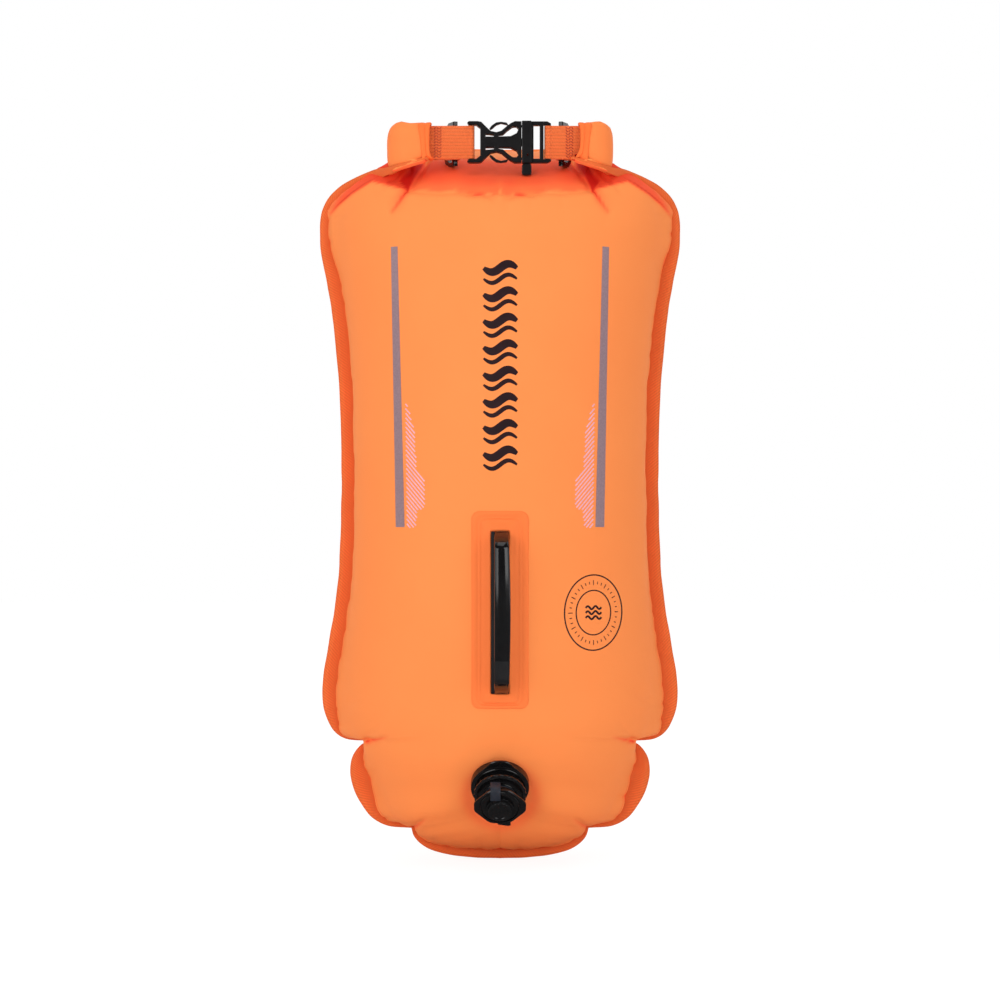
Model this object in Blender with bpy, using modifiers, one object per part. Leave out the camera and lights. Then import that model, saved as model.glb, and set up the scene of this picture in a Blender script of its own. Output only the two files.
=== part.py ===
"""Open water swim buoy: an inflated roll-top dry bag with a whistle buckle, an inflation valve and a handle.

Run with blender --background --python part.py, or from the text editor. Lengths are in metres, +Z is up
and the face with the handle looks along -Y. The origin is under the middle of the whole object.
"""

import math

import bmesh
import bpy
from mathutils import Matrix, Vector

COLLECTION = "open_water_swim_buoy"

# Clearances
GAP = 0.0003
LAYER_MARGIN = 0.010
SEAM_CLEARANCE = 0.006
OVERRUN = 0.004
WELD = 0.00001

# Bag, inflated
HALF_WIDTH = 0.1422
BAG_HEIGHT = 0.545
BAG_DEPTH = 0.108
PANEL_WALL = 0.0012
FLANGE_WIDTH = 0.0092
FLANGE_END = 0.0006
NECK_LIFT = 0.0020
NECK_END_Y = -0.012
REST_CUT = 0.0005

# Panel rows from the bottom seam to the collar. Shares of half width, seam height and centre height of
# the bag, of its depth, of the way to the collar's line and of the seam's way forward, then the
# edge's turn as a share of half a turn.
PANEL_ROW_SHARES = (
    (0.000, 0.000, 0.017, 0.00, 0.00, 0.00, 0.00),
    (0.144, 0.001, 0.022, 0.16, 0.00, 0.00, 0.00),
    (0.278, 0.005, 0.030, 0.27, 0.00, 0.00, 0.00),
    (0.367, 0.011, 0.040, 0.37, 0.00, 0.00, 0.00),
    (0.439, 0.021, 0.053, 0.47, 0.00, 0.00, 0.00),
    (0.478, 0.032, 0.066, 0.54, 0.00, 0.00, 0.00),
    (0.492, 0.044, 0.080, 0.60, 0.00, 0.00, 0.00),
    (0.622, 0.047, 0.094, 0.66, 0.00, 0.00, 0.00),
    (0.711, 0.059, 0.108, 0.72, 0.00, 0.00, 0.00),
    (0.772, 0.080, 0.124, 0.78, 0.00, 0.00, 0.00),
    (0.814, 0.101, 0.140, 0.83, 0.00, 0.00, 0.00),
    (0.832, 0.125, 0.156, 0.87, 0.00, 0.00, 0.00),
    (0.822, 0.146, 0.170, 0.89, 0.00, 0.00, 0.00),
    (0.778, 0.162, 0.182, 0.905, 0.00, 0.00, 0.00),
    (0.733, 0.170, 0.194, 0.915, 0.00, 0.00, 0.00),
    (0.856, 0.173, 0.206, 0.925, 0.00, 0.00, 0.00),
    (0.922, 0.184, 0.218, 0.93, 0.00, 0.00, 0.00),
    (0.964, 0.206, 0.234, 0.935, 0.00, 0.00, 0.00),
    (0.986, 0.229, 0.250, 0.94, 0.00, 0.00, 0.00),
    (0.981, 0.265, 0.278, 0.955, 0.00, 0.00, 0.00),
    (0.956, 0.304, 0.310, 0.97, 0.00, 0.00, 0.00),
    (0.925, 0.352, 0.354, 0.985, 0.00, 0.00, 0.00),
    (0.897, 0.410, 0.410, 1.00, 0.00, 0.00, 0.00),
    (0.882, 0.500, 0.500, 1.00, 0.00, 0.00, 0.00),
    (0.881, 0.590, 0.590, 1.00, 0.00, 0.00, 0.00),
    (0.892, 0.678, 0.678, 0.995, 0.00, 0.00, 0.00),
    (0.911, 0.736, 0.734, 0.985, 0.00, 0.00, 0.00),
    (0.933, 0.791, 0.784, 0.97, 0.00, 0.00, 0.00),
    (0.967, 0.841, 0.828, 0.95, 0.00, 0.00, 0.00),
    (0.994, 0.877, 0.862, 0.93, 0.00, 0.00, 0.00),
    (1.000, 0.907, 0.893, 0.905, 0.00, 0.00, 0.00),
    (0.985, 0.930, 0.918, 0.875, 0.03, 0.05, 0.00),
    (0.938, 0.950, 0.936, 0.84, 0.09, 0.15, 0.02),
    (0.855, 0.961, 0.951, 0.81, 0.20, 0.35, 0.04),
    (0.765, 0.966, 0.961, 0.79, 0.40, 0.60, 0.08),
    (0.680, 0.971, 0.968, 0.77, 0.66, 0.80, 0.20),
    (0.610, 0.977, 0.972, 0.75, 0.88, 0.95, 0.40),
    (0.570, 0.981, 0.974, 0.74, 1.00, 1.00, 0.50),
)
ROW_CELLS = 24

# Rolled collar, bent round so that its ends meet at the buckle
COLLAR_HALF_WIDTH = 0.081
COLLAR_FRONT_Y = -0.058
COLLAR_BACK_Y = 0.034
COLLAR_LEFT_END = -0.0515
COLLAR_RIGHT_END = 0.059
COLLAR_FRONT_CORNER = 0.012
COLLAR_BACK_CORNER = 0.030
COLLAR_THICKNESS = 0.014
COLLAR_TALL = 0.034
COLLAR_EDGE = 0.005
COLLAR_RISE = 0.011
COLLAR_FRONT_Z = BAG_HEIGHT + COLLAR_RISE
COLLAR_BACK_DROP = 0.008
COLLAR_BACK_Z = COLLAR_FRONT_Z - COLLAR_BACK_DROP
CORNER_STEPS = 5
EYE_STEPS = 12

# Webbing strap, 25 mm
STRAP_WIDTH = 0.0254
STRAP_THICKNESS = 0.0014
STRAP_TAIL = 0.003
STRAP_EYE_REACH = 0.0095
POCKET_CLEARANCE = 0.0004
STIFFENER_THICKNESS = 0.0016
STIFFENER_END_Y = -0.040

# Buckle, placed by the middle of its slots. Its u runs along +X and its w along +Z.
BUCKLE_Y = COLLAR_FRONT_Y
BUCKLE_RISE = 0.002
BUCKLE_Z = COLLAR_FRONT_Z + BUCKLE_RISE
BUCKLE_HALF_TALL = 0.0160
BUCKLE_EDGE = 0.0006
FEMALE_LEFT = -0.0252
FEMALE_LENGTH = 0.0417
FEMALE_THICKNESS = 0.0092
FEMALE_BAR_INSET = 0.0026
FEMALE_BAR_RADIUS = 0.0015
CAVITY_DEPTH = 0.0282
CAVITY_HALF_TALL = 0.0142
CAVITY_THICKNESS = 0.0044
RELEASE_TRAVEL = 0.0257

# Shares of the female half's length and of the buckle's half height
FEMALE_EDGE_SHARES = (
    (1.000, 0.99),
    (0.880, 1.00),
    (0.800, 0.90),
    (0.715, 0.73),
    (0.630, 0.54),
    (0.540, 0.47),
    (0.430, 0.53),
    (0.330, 0.78),
    (0.260, 0.97),
    (0.190, 1.00),
    (0.030, 1.00),
    (0.000, 0.93),
    (0.020, 0.84),
    (0.170, 0.81),
    (0.240, 0.66),
)
FEMALE_NEAR_SLOT_SHARES = ((0.34, 0.26), (0.49, 0.26), (0.49, 0.34), (0.41, 0.37), (0.34, 0.38))
FEMALE_FAR_SLOT_SHARES = (
    (0.58, 0.26),
    (0.80, 0.28),
    (0.91, 0.42),
    (0.945, 0.62),
    (0.90, 0.75),
    (0.83, 0.72),
    (0.74, 0.55),
    (0.66, 0.36),
    (0.58, 0.33),
)

# Male half
MALE_BLOCK_WIDTH = 0.0074
MALE_BLOCK_FRONT = 0.0056
MALE_BLOCK_BACK = 0.0044
MALE_RAIL_END = 0.0392
MALE_RAIL_TALL = 0.0030
MALE_RAIL_THICKNESS = 0.0062
MALE_RAIL_TAPER = 0.0016
MALE_BLOCK_INSET = 0.0020
MALE_BLOCK_PROUD = 0.0002
MALE_LIP_WIDTH = 0.0016
FRONT_BAR_LEFT = 0.0305
FRONT_BAR_WIDTH = 0.0030
BACK_BAR_U = 0.0371
BACK_BAR_RADIUS = 0.0015
PRONG_LENGTH = 0.0250
PRONG_HALF_TALL = 0.0030
PRONG_THICKNESS = 0.0038
SOUND_HOLE_RADIUS = 0.0009
SOUND_HOLE_W = -0.0102
DUCT_WIDTH = 0.0040
DUCT_WALL = 0.0010
DUCT_THICKNESS = 0.0042
DUCT_LENGTH = 0.0170
MOUTHPIECE_REACH = 0.0255
MOUTHPIECE_PLUG = 0.0060
MOUTHPIECE_WALL = 0.0009
MOUTHPIECE_THICKNESS = 0.0078
MOUTHPIECE_CORNER = 0.0020

# Latch arms, hinged at their roots in the male half
ARM_PIVOT_INSET = 0.0012
ARM_PIVOT_W = 0.0127
ARM_ROOT_RADIUS = 0.0010
ARM_NOTCH_HALF = 0.0020
ARM_THICKNESS = 0.0036
ARM_REACH = 0.0262
ARM_RISE = 0.0026
ARM_ROOT_ANGLES = (-50, 0, 50)
# Shares of the arm's reach and of its rise above the pivot, along the outer side and back inside
ARM_EDGE_SHARES = (
    (0.00, 0.30),
    (0.25, 0.10),
    (0.44, 0.15),
    (0.49, 0.95),
    (0.66, 1.20),
    (0.80, 1.00),
    (0.93, 0.10),
    (1.00, -0.80),
    (0.97, -1.25),
    (0.90, -0.80),
    (0.80, 0.10),
    (0.66, 0.60),
    (0.50, 0.25),
    (0.25, -0.50),
    (0.00, -0.40),
)

# Rings on keepers behind the strap
RING_LEFT_X = -0.035
RING_RIGHT_X = 0.0475
RING_Y = COLLAR_FRONT_Y + 0.0094
RING_HALF_TALL = 0.0172
RING_BAR = 0.0038
RING_DEPTH = 0.0200
RING_LAND = 0.0080
RING_HOLE_DEPTH = RING_DEPTH - RING_BAR
RING_HOLE_HALF_TALL = RING_HALF_TALL - RING_BAR
# Shares of depth and half height where the straight legs end and where the corner's slope ends
RING_EDGE_SHARES = ((0.45, 1.0), (0.80, 0.80))
RING_HOLE_SHARES = ((0.52, 1.0), (0.84, 0.74))
RING_BAR_EYE_SHARE = 0.71
RING_EDGE = 0.0006
RING_TURN = math.radians(68)
RING_EYE_REACH = 0.0080
KEEPER_THICKNESS = 0.0012
KEEPER_TAIL = 0.0050
KEEPER_WIDTH = 0.0250

# Handle on its welded patch
WINDOW_HALF_WIDTH = 0.0070
WINDOW_TALL = 0.1230
WINDOW_DROP = 0.0020
WINDOW_CORNER = 0.0012
PATCH_CENTRE_SHARE = 0.3679
PATCH_SIDE_BORDER = 0.0144
PATCH_END_BORDER = 0.0130
PATCH_Z = BAG_HEIGHT * PATCH_CENTRE_SHARE
PATCH_HALF_WIDTH = WINDOW_HALF_WIDTH + PATCH_SIDE_BORDER
PATCH_TALL = WINDOW_TALL + PATCH_END_BORDER * 2
PATCH_CORNER = 0.0060
PATCH_THICKNESS = 0.0010
WINDOW_Z = PATCH_Z - WINDOW_DROP
BASE_STRIP_THICKNESS = 0.0008
HANDLE_HALF_WIDTH = 0.0060
HANDLE_X = 0.0012
HANDLE_THICKNESS = 0.0030
HANDLE_RISE = 0.0210
HANDLE_SHOULDER = 0.0200
HANDLE_FOOT = 0.0100
HANDLE_SINK = 0.0025
FRONT_OVERHANG = HANDLE_RISE + REST_CUT

# Reflective strips, by their ends
STRIP_TOP_X = 0.0805
STRIP_TOP_WIDTH = 0.0050
STRIP_FOOT_X = 0.0758
STRIP_FOOT_WIDTH = 0.0068
STRIP_TOP_SHARE = 0.8734
STRIP_FOOT_SHARE = 0.4817
STRIP_TOP_Z = BAG_HEIGHT * STRIP_TOP_SHARE
STRIP_FOOT_Z = BAG_HEIGHT * STRIP_FOOT_SHARE
STRIP_THICKNESS = 0.0003

# Inflation valve, on its own axis. Heights are above the panel at the middle of the valve.
VALVE_Z = 0.0655
VALVE_TILT = math.radians(35)
VALVE_STEPS = 40
BASE_RADIUS = 0.0222
BASE_TOP = 0.0026
BASE_SKIRT = 0.0040
BASE_BOSS_RADIUS = 0.0128
BASE_BOSS_DEPTH = 0.0110
BASE_COLLAR_RADIUS = 0.0150
BASE_COLLAR_TOP = 0.0062
BASE_BORE_RADIUS = 0.0106
BASE_TAB_WIDTH = 0.0120
BASE_TAB_REACH = 0.0262
BASE_TAB_BOTTOM = 0.0006
BACKING_RADIUS = 0.0215
BACKING_THICKNESS = 0.0010
GASKET_RADIUS = 0.0121
GASKET_WIRE = 0.0009
GASKET_STEPS = 10
SCREW_LENGTH = 0.0140
BODY_FLANGE_RADIUS = 0.0196
BODY_FLANGE_THICKNESS = 0.0022
BODY_NECK_RADIUS = 0.0138
BODY_NECK_TOP = 0.0190
BODY_BORE_RADIUS = 0.0082
BODY_LIP_RADIUS = 0.0122
TETHER_SEAT_Z = 0.0135
TETHER_SEAT_TALL = 0.0024
BODY_SEAT_THICKNESS = 0.0016
AIR_HOLE_RADIUS = 0.0022
AIR_HOLE_RING = 0.0048
AIR_HOLE_COUNT = 4
STEM_HOLE_RADIUS = 0.0013
FLAP_RADIUS = 0.0074
FLAP_THICKNESS = 0.0008
STEM_RADIUS = 0.0010
STEM_BULB_RADIUS = 0.0017
STEM_BULB_TALL = 0.0016
STEM_LENGTH = 0.0050
FLAP_TRAVEL = 0.0012
CAP_SKIRT_RADIUS = 0.0142
CAP_PLUG_RADIUS = 0.0079
CAP_PLUG_DEPTH = 0.0060
CAP_TOP = 0.0245
CAP_WING_RADIUS = 0.0190
CAP_WING_WIDTH = 0.0180
CAP_WING_THICKNESS = 0.0022
CAP_SHOULDER_SHARE = 0.53
CAP_KNOB_RADIUS = 0.0088
CAP_KNOB_TOP = 0.0300
TETHER_THICKNESS = 0.0014
TETHER_WIDTH = 0.0070
TETHER_RING_WALL = 0.0016
TETHER_DROP = 0.0021

# Colours, roughness and metallic values
FINISHES = {
    "orange_fabric": ((1.0, 0.30, 0.07), 0.45, 0.0),
    "orange_webbing": ((0.95, 0.25, 0.05), 0.80, 0.0),
    "black_plastic": ((0.012, 0.012, 0.013), 0.35, 0.0),
    "gloss_black": ((0.008, 0.008, 0.009), 0.12, 0.0),
    "black_rubber": ((0.020, 0.020, 0.022), 0.60, 0.0),
    "grey_reflective": ((0.45, 0.36, 0.40), 0.30, 0.3),
    "clear_plastic": ((0.70, 0.72, 0.74), 0.25, 0.0),
}


def clear_scene():
    """Removes whatever the scene holds."""
    for obj in list(bpy.data.objects):
        bpy.data.objects.remove(obj, do_unlink=True)


def collection(name):
    """A new collection of that name in the scene."""
    made = bpy.data.collections.new(name)
    bpy.context.scene.collection.children.link(made)
    return made


def finish(obj, name):
    """Gives the object its own Principled material."""
    colour, roughness, metallic = FINISHES[name]
    made = bpy.data.materials.new(obj.name + "_" + name)
    made.use_nodes = True
    shader = made.node_tree.nodes["Principled BSDF"]
    shader.inputs["Base Color"].default_value = (*colour, 1.0)
    shader.inputs["Roughness"].default_value = roughness
    shader.inputs["Metallic"].default_value = metallic
    made.diffuse_color = (*colour, 1.0)
    obj.data.materials.clear()
    obj.data.materials.append(made)


def place(name, mesh, where, matrix=None, look=None):
    """Links a mesh as an object, with its finish where it has one."""
    obj = bpy.data.objects.new(name, mesh)
    bpy.data.collections[where].objects.link(obj)
    if matrix is not None:
        obj.matrix_world = matrix
    if look:
        finish(obj, look)
        mesh.shade_smooth()
        mesh.set_sharp_from_angle(angle=math.radians(32))
    else:
        obj.hide_render = True
        obj.display_type = "WIRE"
    return obj


def part(name, mesh, look, matrix=None):
    return place(name, mesh, COLLECTION, matrix, look)


def cutter(name, mesh, matrix=None):
    return place(name, mesh, "cutters", matrix)


def boolean(obj, other, operation="DIFFERENCE"):
    """Adds an exact Boolean with the other object."""
    modifier = obj.modifiers.new(other.name, "BOOLEAN")
    modifier.operation = operation
    modifier.solver = "EXACT"
    modifier.object = other


def mesh_of(obj, name):
    """The evaluated mesh of a curve object, with its caps welded. The curve is removed."""
    bpy.context.view_layer.update()
    graph = bpy.context.evaluated_depsgraph_get()
    mesh = bpy.data.meshes.new_from_object(obj.evaluated_get(graph))
    mesh.name = name
    shape = bmesh.new()
    shape.from_mesh(mesh)
    bmesh.ops.remove_doubles(shape, verts=shape.verts, dist=WELD)
    bmesh.ops.recalc_face_normals(shape, faces=shape.faces)
    shape.to_mesh(mesh)
    shape.free()
    mesh.materials.clear()
    bpy.data.objects.remove(obj, do_unlink=True)
    return mesh


def box_mesh(name, low, high):
    """A box between two corners."""
    low = Vector(low)
    high = Vector(high)
    size = high - low
    shape = bmesh.new()
    bmesh.ops.create_cube(shape, size=1.0)
    bmesh.ops.scale(shape, vec=size, verts=shape.verts)
    bmesh.ops.translate(shape, vec=(low + high) / 2, verts=shape.verts)
    mesh = bpy.data.meshes.new(name)
    shape.to_mesh(mesh)
    shape.free()
    return mesh


def cylinder_mesh(name, radius, low, high, steps=VALVE_STEPS, centre=(0.0, 0.0)):
    """A cylinder along Z between two heights."""
    shape = bmesh.new()
    bmesh.ops.create_cone(
        shape,
        cap_ends=True,
        segments=steps,
        radius1=radius,
        radius2=radius,
        depth=high - low,
    )
    bmesh.ops.translate(shape, vec=(*centre, (low + high) / 2), verts=shape.verts)
    mesh = bpy.data.meshes.new(name)
    shape.to_mesh(mesh)
    shape.free()
    return mesh


def outline_mesh(name, loops, thickness, edge=0.0):
    """A flat outline in XY with its holes, extruded along Z about the plane, with rounded edges."""
    curve = bpy.data.curves.new(name, "CURVE")
    curve.dimensions = "2D"
    curve.fill_mode = "BOTH"
    curve.extrude = thickness / 2 - edge
    curve.bevel_depth = edge
    curve.bevel_resolution = 1
    curve.offset = -edge
    for points in loops:
        spline = curve.splines.new("POLY")
        spline.points.add(len(points) - 1)
        for knot, point in zip(spline.points, points):
            knot.co = (*point, 0.0, 1.0)
        spline.use_cyclic_u = True
    obj = bpy.data.objects.new(name, curve)
    bpy.context.scene.collection.objects.link(obj)
    return mesh_of(obj, name)


def rounded_rectangle(half_width, half_tall, corner, steps=4, centre=(0.0, 0.0)):
    """Points round a rectangle with arcs at its corners."""
    points = []
    for turn, (side, end) in enumerate(((1, 1), (-1, 1), (-1, -1), (1, -1))):
        for step in range(steps + 1):
            angle = math.radians(90) * (turn + step / steps)
            across = side * (half_width - corner) + corner * math.cos(angle)
            along = end * (half_tall - corner) + corner * math.sin(angle)
            points.append((centre[0] + across, centre[1] + along))
    return points


def circle(radius, steps, centre=(0.0, 0.0)):
    """Points round a circle."""
    return [
        (
            centre[0] + radius * math.cos(math.tau * step / steps),
            centre[1] + radius * math.sin(math.tau * step / steps),
        )
        for step in range(steps)
    ]


def turned(name, profile, look, matrix=None, steps=VALVE_STEPS):
    """A turned part from a profile of radius and height, run top to bottom on its outer side."""
    mesh = bpy.data.meshes.new(name)
    points = [(radius, 0.0, height) for radius, height in profile]
    joins = [(i, i + 1) for i in range(len(points) - 1)]
    if profile[0][0] > 0.0:
        joins.append((len(points) - 1, 0))
    mesh.from_pydata(points, joins, [])
    obj = part(name, mesh, look, matrix) if look else cutter(name, mesh, matrix)
    screw = obj.modifiers.new("turn", "SCREW")
    screw.axis = "Z"
    screw.angle = math.tau
    screw.screw_offset = 0.0
    screw.steps = steps
    screw.render_steps = steps
    screw.use_merge_vertices = True
    screw.merge_threshold = WELD
    screw.use_smooth_shade = True
    return obj


def facing_front(x, y, z):
    """A frame whose X runs along +X and whose Y runs up, for outlines seen from the front."""
    return Matrix.Translation((x, y, z)) @ Matrix.Rotation(math.radians(90), 4, "X")


def lerp(low, high, share):
    return low + (high - low) * share


def collar_z(y):
    """Height of the collar's middle, which drops from the buckle to the back."""
    share = (y - COLLAR_FRONT_Y) / (COLLAR_BACK_Y - COLLAR_FRONT_Y)
    return lerp(COLLAR_FRONT_Z, COLLAR_BACK_Z, share)


def collar_path(offset=0.0):
    """Plan of the collar's middle line from the left end round the back, moved inward by the offset."""
    half = COLLAR_HALF_WIDTH - offset
    front = COLLAR_FRONT_Y + offset
    back = COLLAR_BACK_Y - offset
    near = COLLAR_FRONT_CORNER - offset
    far = COLLAR_BACK_CORNER - offset
    left = [(COLLAR_LEFT_END, front)]
    right = [(COLLAR_RIGHT_END, front)]
    for side, line in ((-1, left), (1, right)):
        for step in range(CORNER_STEPS + 1):
            angle = math.radians(90) * step / CORNER_STEPS
            across = half - near + near * math.sin(angle)
            line.append((side * across, front + near - near * math.cos(angle)))
        for step in range(CORNER_STEPS + 1):
            angle = math.radians(90) * step / CORNER_STEPS
            across = half - far + far * math.cos(angle)
            line.append((side * across, back - far + far * math.sin(angle)))
    return left + right[::-1]


def point_along(path, share):
    """The point at a share of the path's length."""
    lengths = [math.dist(a, b) for a, b in zip(path, path[1:])]
    left = share * sum(lengths)
    for a, b, length in zip(path, path[1:], lengths):
        if left <= length:
            return [lerp(p, q, left / length) for p, q in zip(a, b)]
        left -= length
    return list(path[-1])


def arm_path(side, offset):
    """The collar's line from the neck's end on one arm to the middle of its back."""
    path = collar_path(offset)
    half = len(path) // 2
    arm = path[:half] if side < 0 else path[half:][::-1]
    start = (arm[CORNER_STEPS + 1][0], NECK_END_Y)
    return [start] + arm[CORNER_STEPS + 2 :] + [(0.0, COLLAR_BACK_Y - offset)]


def seam_points():
    """Outer edge of each panel row on the right side, and the way from it in to the seam line."""
    edges = [
        Vector((row[0] * HALF_WIDTH, row[5] * NECK_END_Y, row[1] * BAG_HEIGHT))
        for row in PANEL_ROW_SHARES
    ]
    ways = [Vector((0.0, 0.0, FLANGE_WIDTH))]
    for before, after in zip(edges, edges[2:] + edges[-1:]):
        along = Vector((after.x - before.x, 0.0, after.z - before.z))
        ways.append(Vector((-along.z, 0.0, along.x)).normalized() * FLANGE_WIDTH)
    return edges, ways


def row_points(index, face, edges, ways):
    """One panel row from its left edge to its right edge. Face is -1 for the front and 1 for the back."""
    _, _, centre_share, depth_share, neck, _, turn_share = PANEL_ROW_SHARES[index]
    lift = lerp(GAP / 2, NECK_LIFT, neck)
    turn = math.pi * turn_share
    centre_z = centre_share * BAG_HEIGHT
    depth = depth_share * BAG_DEPTH
    under = COLLAR_TALL / 2 + GAP + PANEL_WALL
    cells = ROW_CELLS // 2
    flange = lerp(1.0, FLANGE_END / FLANGE_WIDTH, neck)
    edge = edges[index]
    way = ways[index] * flange
    seam = edge + Vector((way.x * math.cos(turn), -way.x * math.sin(turn), way.z))
    row = {}
    for side in (-1, 1):
        mirror = Matrix.Diagonal((side, 1.0, 1.0))
        shift = Vector((face * side * math.sin(turn), face * math.cos(turn), 0.0)) * lift
        path = arm_path(side, -face * lift)
        if neck == 1.0:
            seam = Vector((side * path[0][0], path[0][1], collar_z(path[0][1]) - under))
            edge = seam - Vector((0.0, FLANGE_END, 0.0))
            shift = Vector((0.0, 0.0, 0.0))
        row[side * cells] = mirror @ edge + shift
        target = mirror @ seam + shift
        for step in range(cells):
            share = step / (cells - 1)
            angle = share * math.pi / 2
            body = Vector(
                (
                    side * seam.x * math.cos(angle),
                    face * (lift + depth * math.sin(angle)),
                    lerp(seam.z, centre_z, 1 - math.cos(angle)),
                )
            )
            plan = point_along(path, share)
            point = body.lerp(Vector((*plan, collar_z(plan[1]) - under)), neck)
            if step == 0:
                pull = target - point
            row[side * (cells - 1 - step)] = point + pull * (1 - share) ** 2
    return [row[step] for step in range(-cells, cells + 1)]


def panel_skin(name, face):
    """The inner face of one panel, with its welded edge: a grid warped row by row."""
    edges, ways = seam_points()
    rows = [row_points(i, face, edges, ways) for i in range(len(PANEL_ROW_SHARES))]
    last = len(rows) - 1
    shape = bmesh.new()
    bmesh.ops.create_grid(shape, x_segments=ROW_CELLS, y_segments=last, size=1.0)
    for vert in shape.verts:
        column = round((vert.co.x + 1) / 2 * ROW_CELLS)
        line = round((vert.co.y + 1) / 2 * last)
        vert.co = rows[line][column]
    bmesh.ops.remove_doubles(shape, verts=shape.verts, dist=WELD)
    if face > 0:
        bmesh.ops.reverse_faces(shape, faces=shape.faces)
    mesh = bpy.data.meshes.new(name)
    shape.to_mesh(mesh)
    shape.free()
    return mesh


def thicken(obj, start, thickness):
    """Turns an open skin into a shell that starts at a height over the skin."""
    if start:
        move = obj.modifiers.new("move", "DISPLACE")
        move.strength = start
        move.mid_level = 0.0
        move.direction = "NORMAL"
    solid = obj.modifiers.new("thickness", "SOLIDIFY")
    solid.thickness = abs(thickness)
    solid.offset = math.copysign(1.0, thickness)


def panels():
    """Front and back panel of the bag."""
    front = part("front_panel", panel_skin("front_panel", -1), "orange_fabric")
    thicken(front, 0.0, PANEL_WALL)
    back = part("back_panel", panel_skin("back_panel", 1), "orange_fabric")
    thicken(back, 0.0, PANEL_WALL)
    return front, back


def sweep(name, path, half_across, half_tall, corner, steps=3):
    """A rounded section swept along a plan line, then sheared to the collar's slope."""
    section = bpy.data.curves.new(name + "_section", "CURVE")
    section.dimensions = "2D"
    outline = rounded_rectangle(half_across, half_tall, corner, steps)
    spline = section.splines.new("POLY")
    spline.points.add(len(outline) - 1)
    for knot, point in zip(spline.points, outline):
        knot.co = (*point, 0.0, 1.0)
    spline.use_cyclic_u = True
    profile = bpy.data.objects.new(name + "_section", section)
    curve = bpy.data.curves.new(name, "CURVE")
    curve.dimensions = "3D"
    curve.twist_mode = "Z_UP"
    curve.bevel_mode = "OBJECT"
    curve.bevel_object = profile
    curve.use_fill_caps = True
    line = curve.splines.new("POLY")
    line.points.add(len(path) - 1)
    for knot, (x, y) in zip(line.points, path):
        knot.co = (x, y, 0.0, 1.0)
    obj = bpy.data.objects.new(name, curve)
    bpy.context.scene.collection.objects.link(obj)
    mesh = mesh_of(obj, name)
    for vert in mesh.vertices:
        vert.co.z += collar_z(vert.co.y)
    bpy.data.objects.remove(profile, do_unlink=True)
    return mesh


def collar():
    """Rolled collar with a pocket along its middle, and the stiffener that lies in the pocket."""
    half_strap = STRAP_WIDTH / 2
    pocket_half = STRAP_THICKNESS + POCKET_CLEARANCE
    roll = part(
        "rolled_collar",
        sweep("rolled_collar", collar_path(), COLLAR_THICKNESS / 2, COLLAR_TALL / 2, COLLAR_EDGE),
        "orange_fabric",
    )
    path = collar_path()
    longer = [(path[0][0] + OVERRUN, path[0][1])] + path[1:-1] + [(path[-1][0] - OVERRUN, path[-1][1])]
    tall = half_strap + POCKET_CLEARANCE
    pocket = sweep("collar_pocket", longer, pocket_half, tall, GAP, 1)
    boolean(roll, cutter("collar_pocket", pocket))
    tail_end = COLLAR_LEFT_END - STRAP_TAIL - RELEASE_TRAVEL - POCKET_CLEARANCE
    slot_half = pocket_half + POCKET_CLEARANCE / 2
    slot = box_mesh(
        "collar_left_slot",
        (tail_end, COLLAR_FRONT_Y - slot_half, BUCKLE_Z - tall),
        (COLLAR_LEFT_END + OVERRUN, COLLAR_FRONT_Y + slot_half, BUCKLE_Z + tall),
    )
    boolean(roll, cutter("collar_left_slot", slot))
    # The eye of the left webbing slides into this mouth when the buckle is released
    eye_half = FEMALE_BAR_RADIUS + GAP + STRAP_THICKNESS + POCKET_CLEARANCE
    eye_end = FEMALE_LEFT + FEMALE_BAR_INSET - STRAP_EYE_REACH - RELEASE_TRAVEL - POCKET_CLEARANCE
    mouth = box_mesh(
        "collar_left_mouth",
        (eye_end, COLLAR_FRONT_Y - eye_half, BUCKLE_Z - tall),
        (COLLAR_LEFT_END + OVERRUN, COLLAR_FRONT_Y + eye_half, BUCKLE_Z + tall),
    )
    boolean(roll, cutter("collar_left_mouth", mouth))
    tail = COLLAR_RIGHT_END + STRAP_TAIL + POCKET_CLEARANCE
    slot = box_mesh(
        "collar_right_slot",
        (COLLAR_RIGHT_END - OVERRUN, COLLAR_FRONT_Y - slot_half, BUCKLE_Z - tall),
        (tail, COLLAR_FRONT_Y + slot_half, BUCKLE_Z + tall),
    )
    boolean(roll, cutter("collar_right_slot", slot))
    inner = [point for point in path if point[1] > STIFFENER_END_Y]
    inner = [(inner[0][0], STIFFENER_END_Y)] + inner + [(inner[-1][0], STIFFENER_END_Y)]
    strip = sweep("mouth_stiffener", inner, STIFFENER_THICKNESS / 2, half_strap, GAP, 1)
    part("mouth_stiffener", strip, "clear_plastic")


def strap_loop(name, bar, bar_radius, tail, thickness, reach, width, look, y, z, tail_shift=0.0):
    """A strap folded round a bar, with its two layers sewn together from the eye to the tail."""
    way = math.copysign(1.0, tail - bar)
    inner = bar_radius + GAP
    outer = inner + thickness
    start = math.acos((outer - thickness) / reach)
    span = math.tau - 2 * start
    arc = [start + span * step / EYE_STEPS for step in range(EYE_STEPS + 1)]
    eye = [(bar + way * inner * math.cos(a), inner * math.sin(a)) for a in arc]
    eye.append((bar + way * (reach - thickness), 0.0))
    rim = [(bar + way * outer * math.cos(a), outer * math.sin(a)) for a in arc]
    rim.append((bar + way * reach, tail_shift - thickness))
    rim.append((tail, tail_shift - thickness))
    rim.append((tail, tail_shift + thickness))
    rim.append((bar + way * reach, tail_shift + thickness))
    mesh = outline_mesh(name, (rim, eye), width)
    return part(name, mesh, look, Matrix.Translation((0.0, y, z)))


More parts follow.
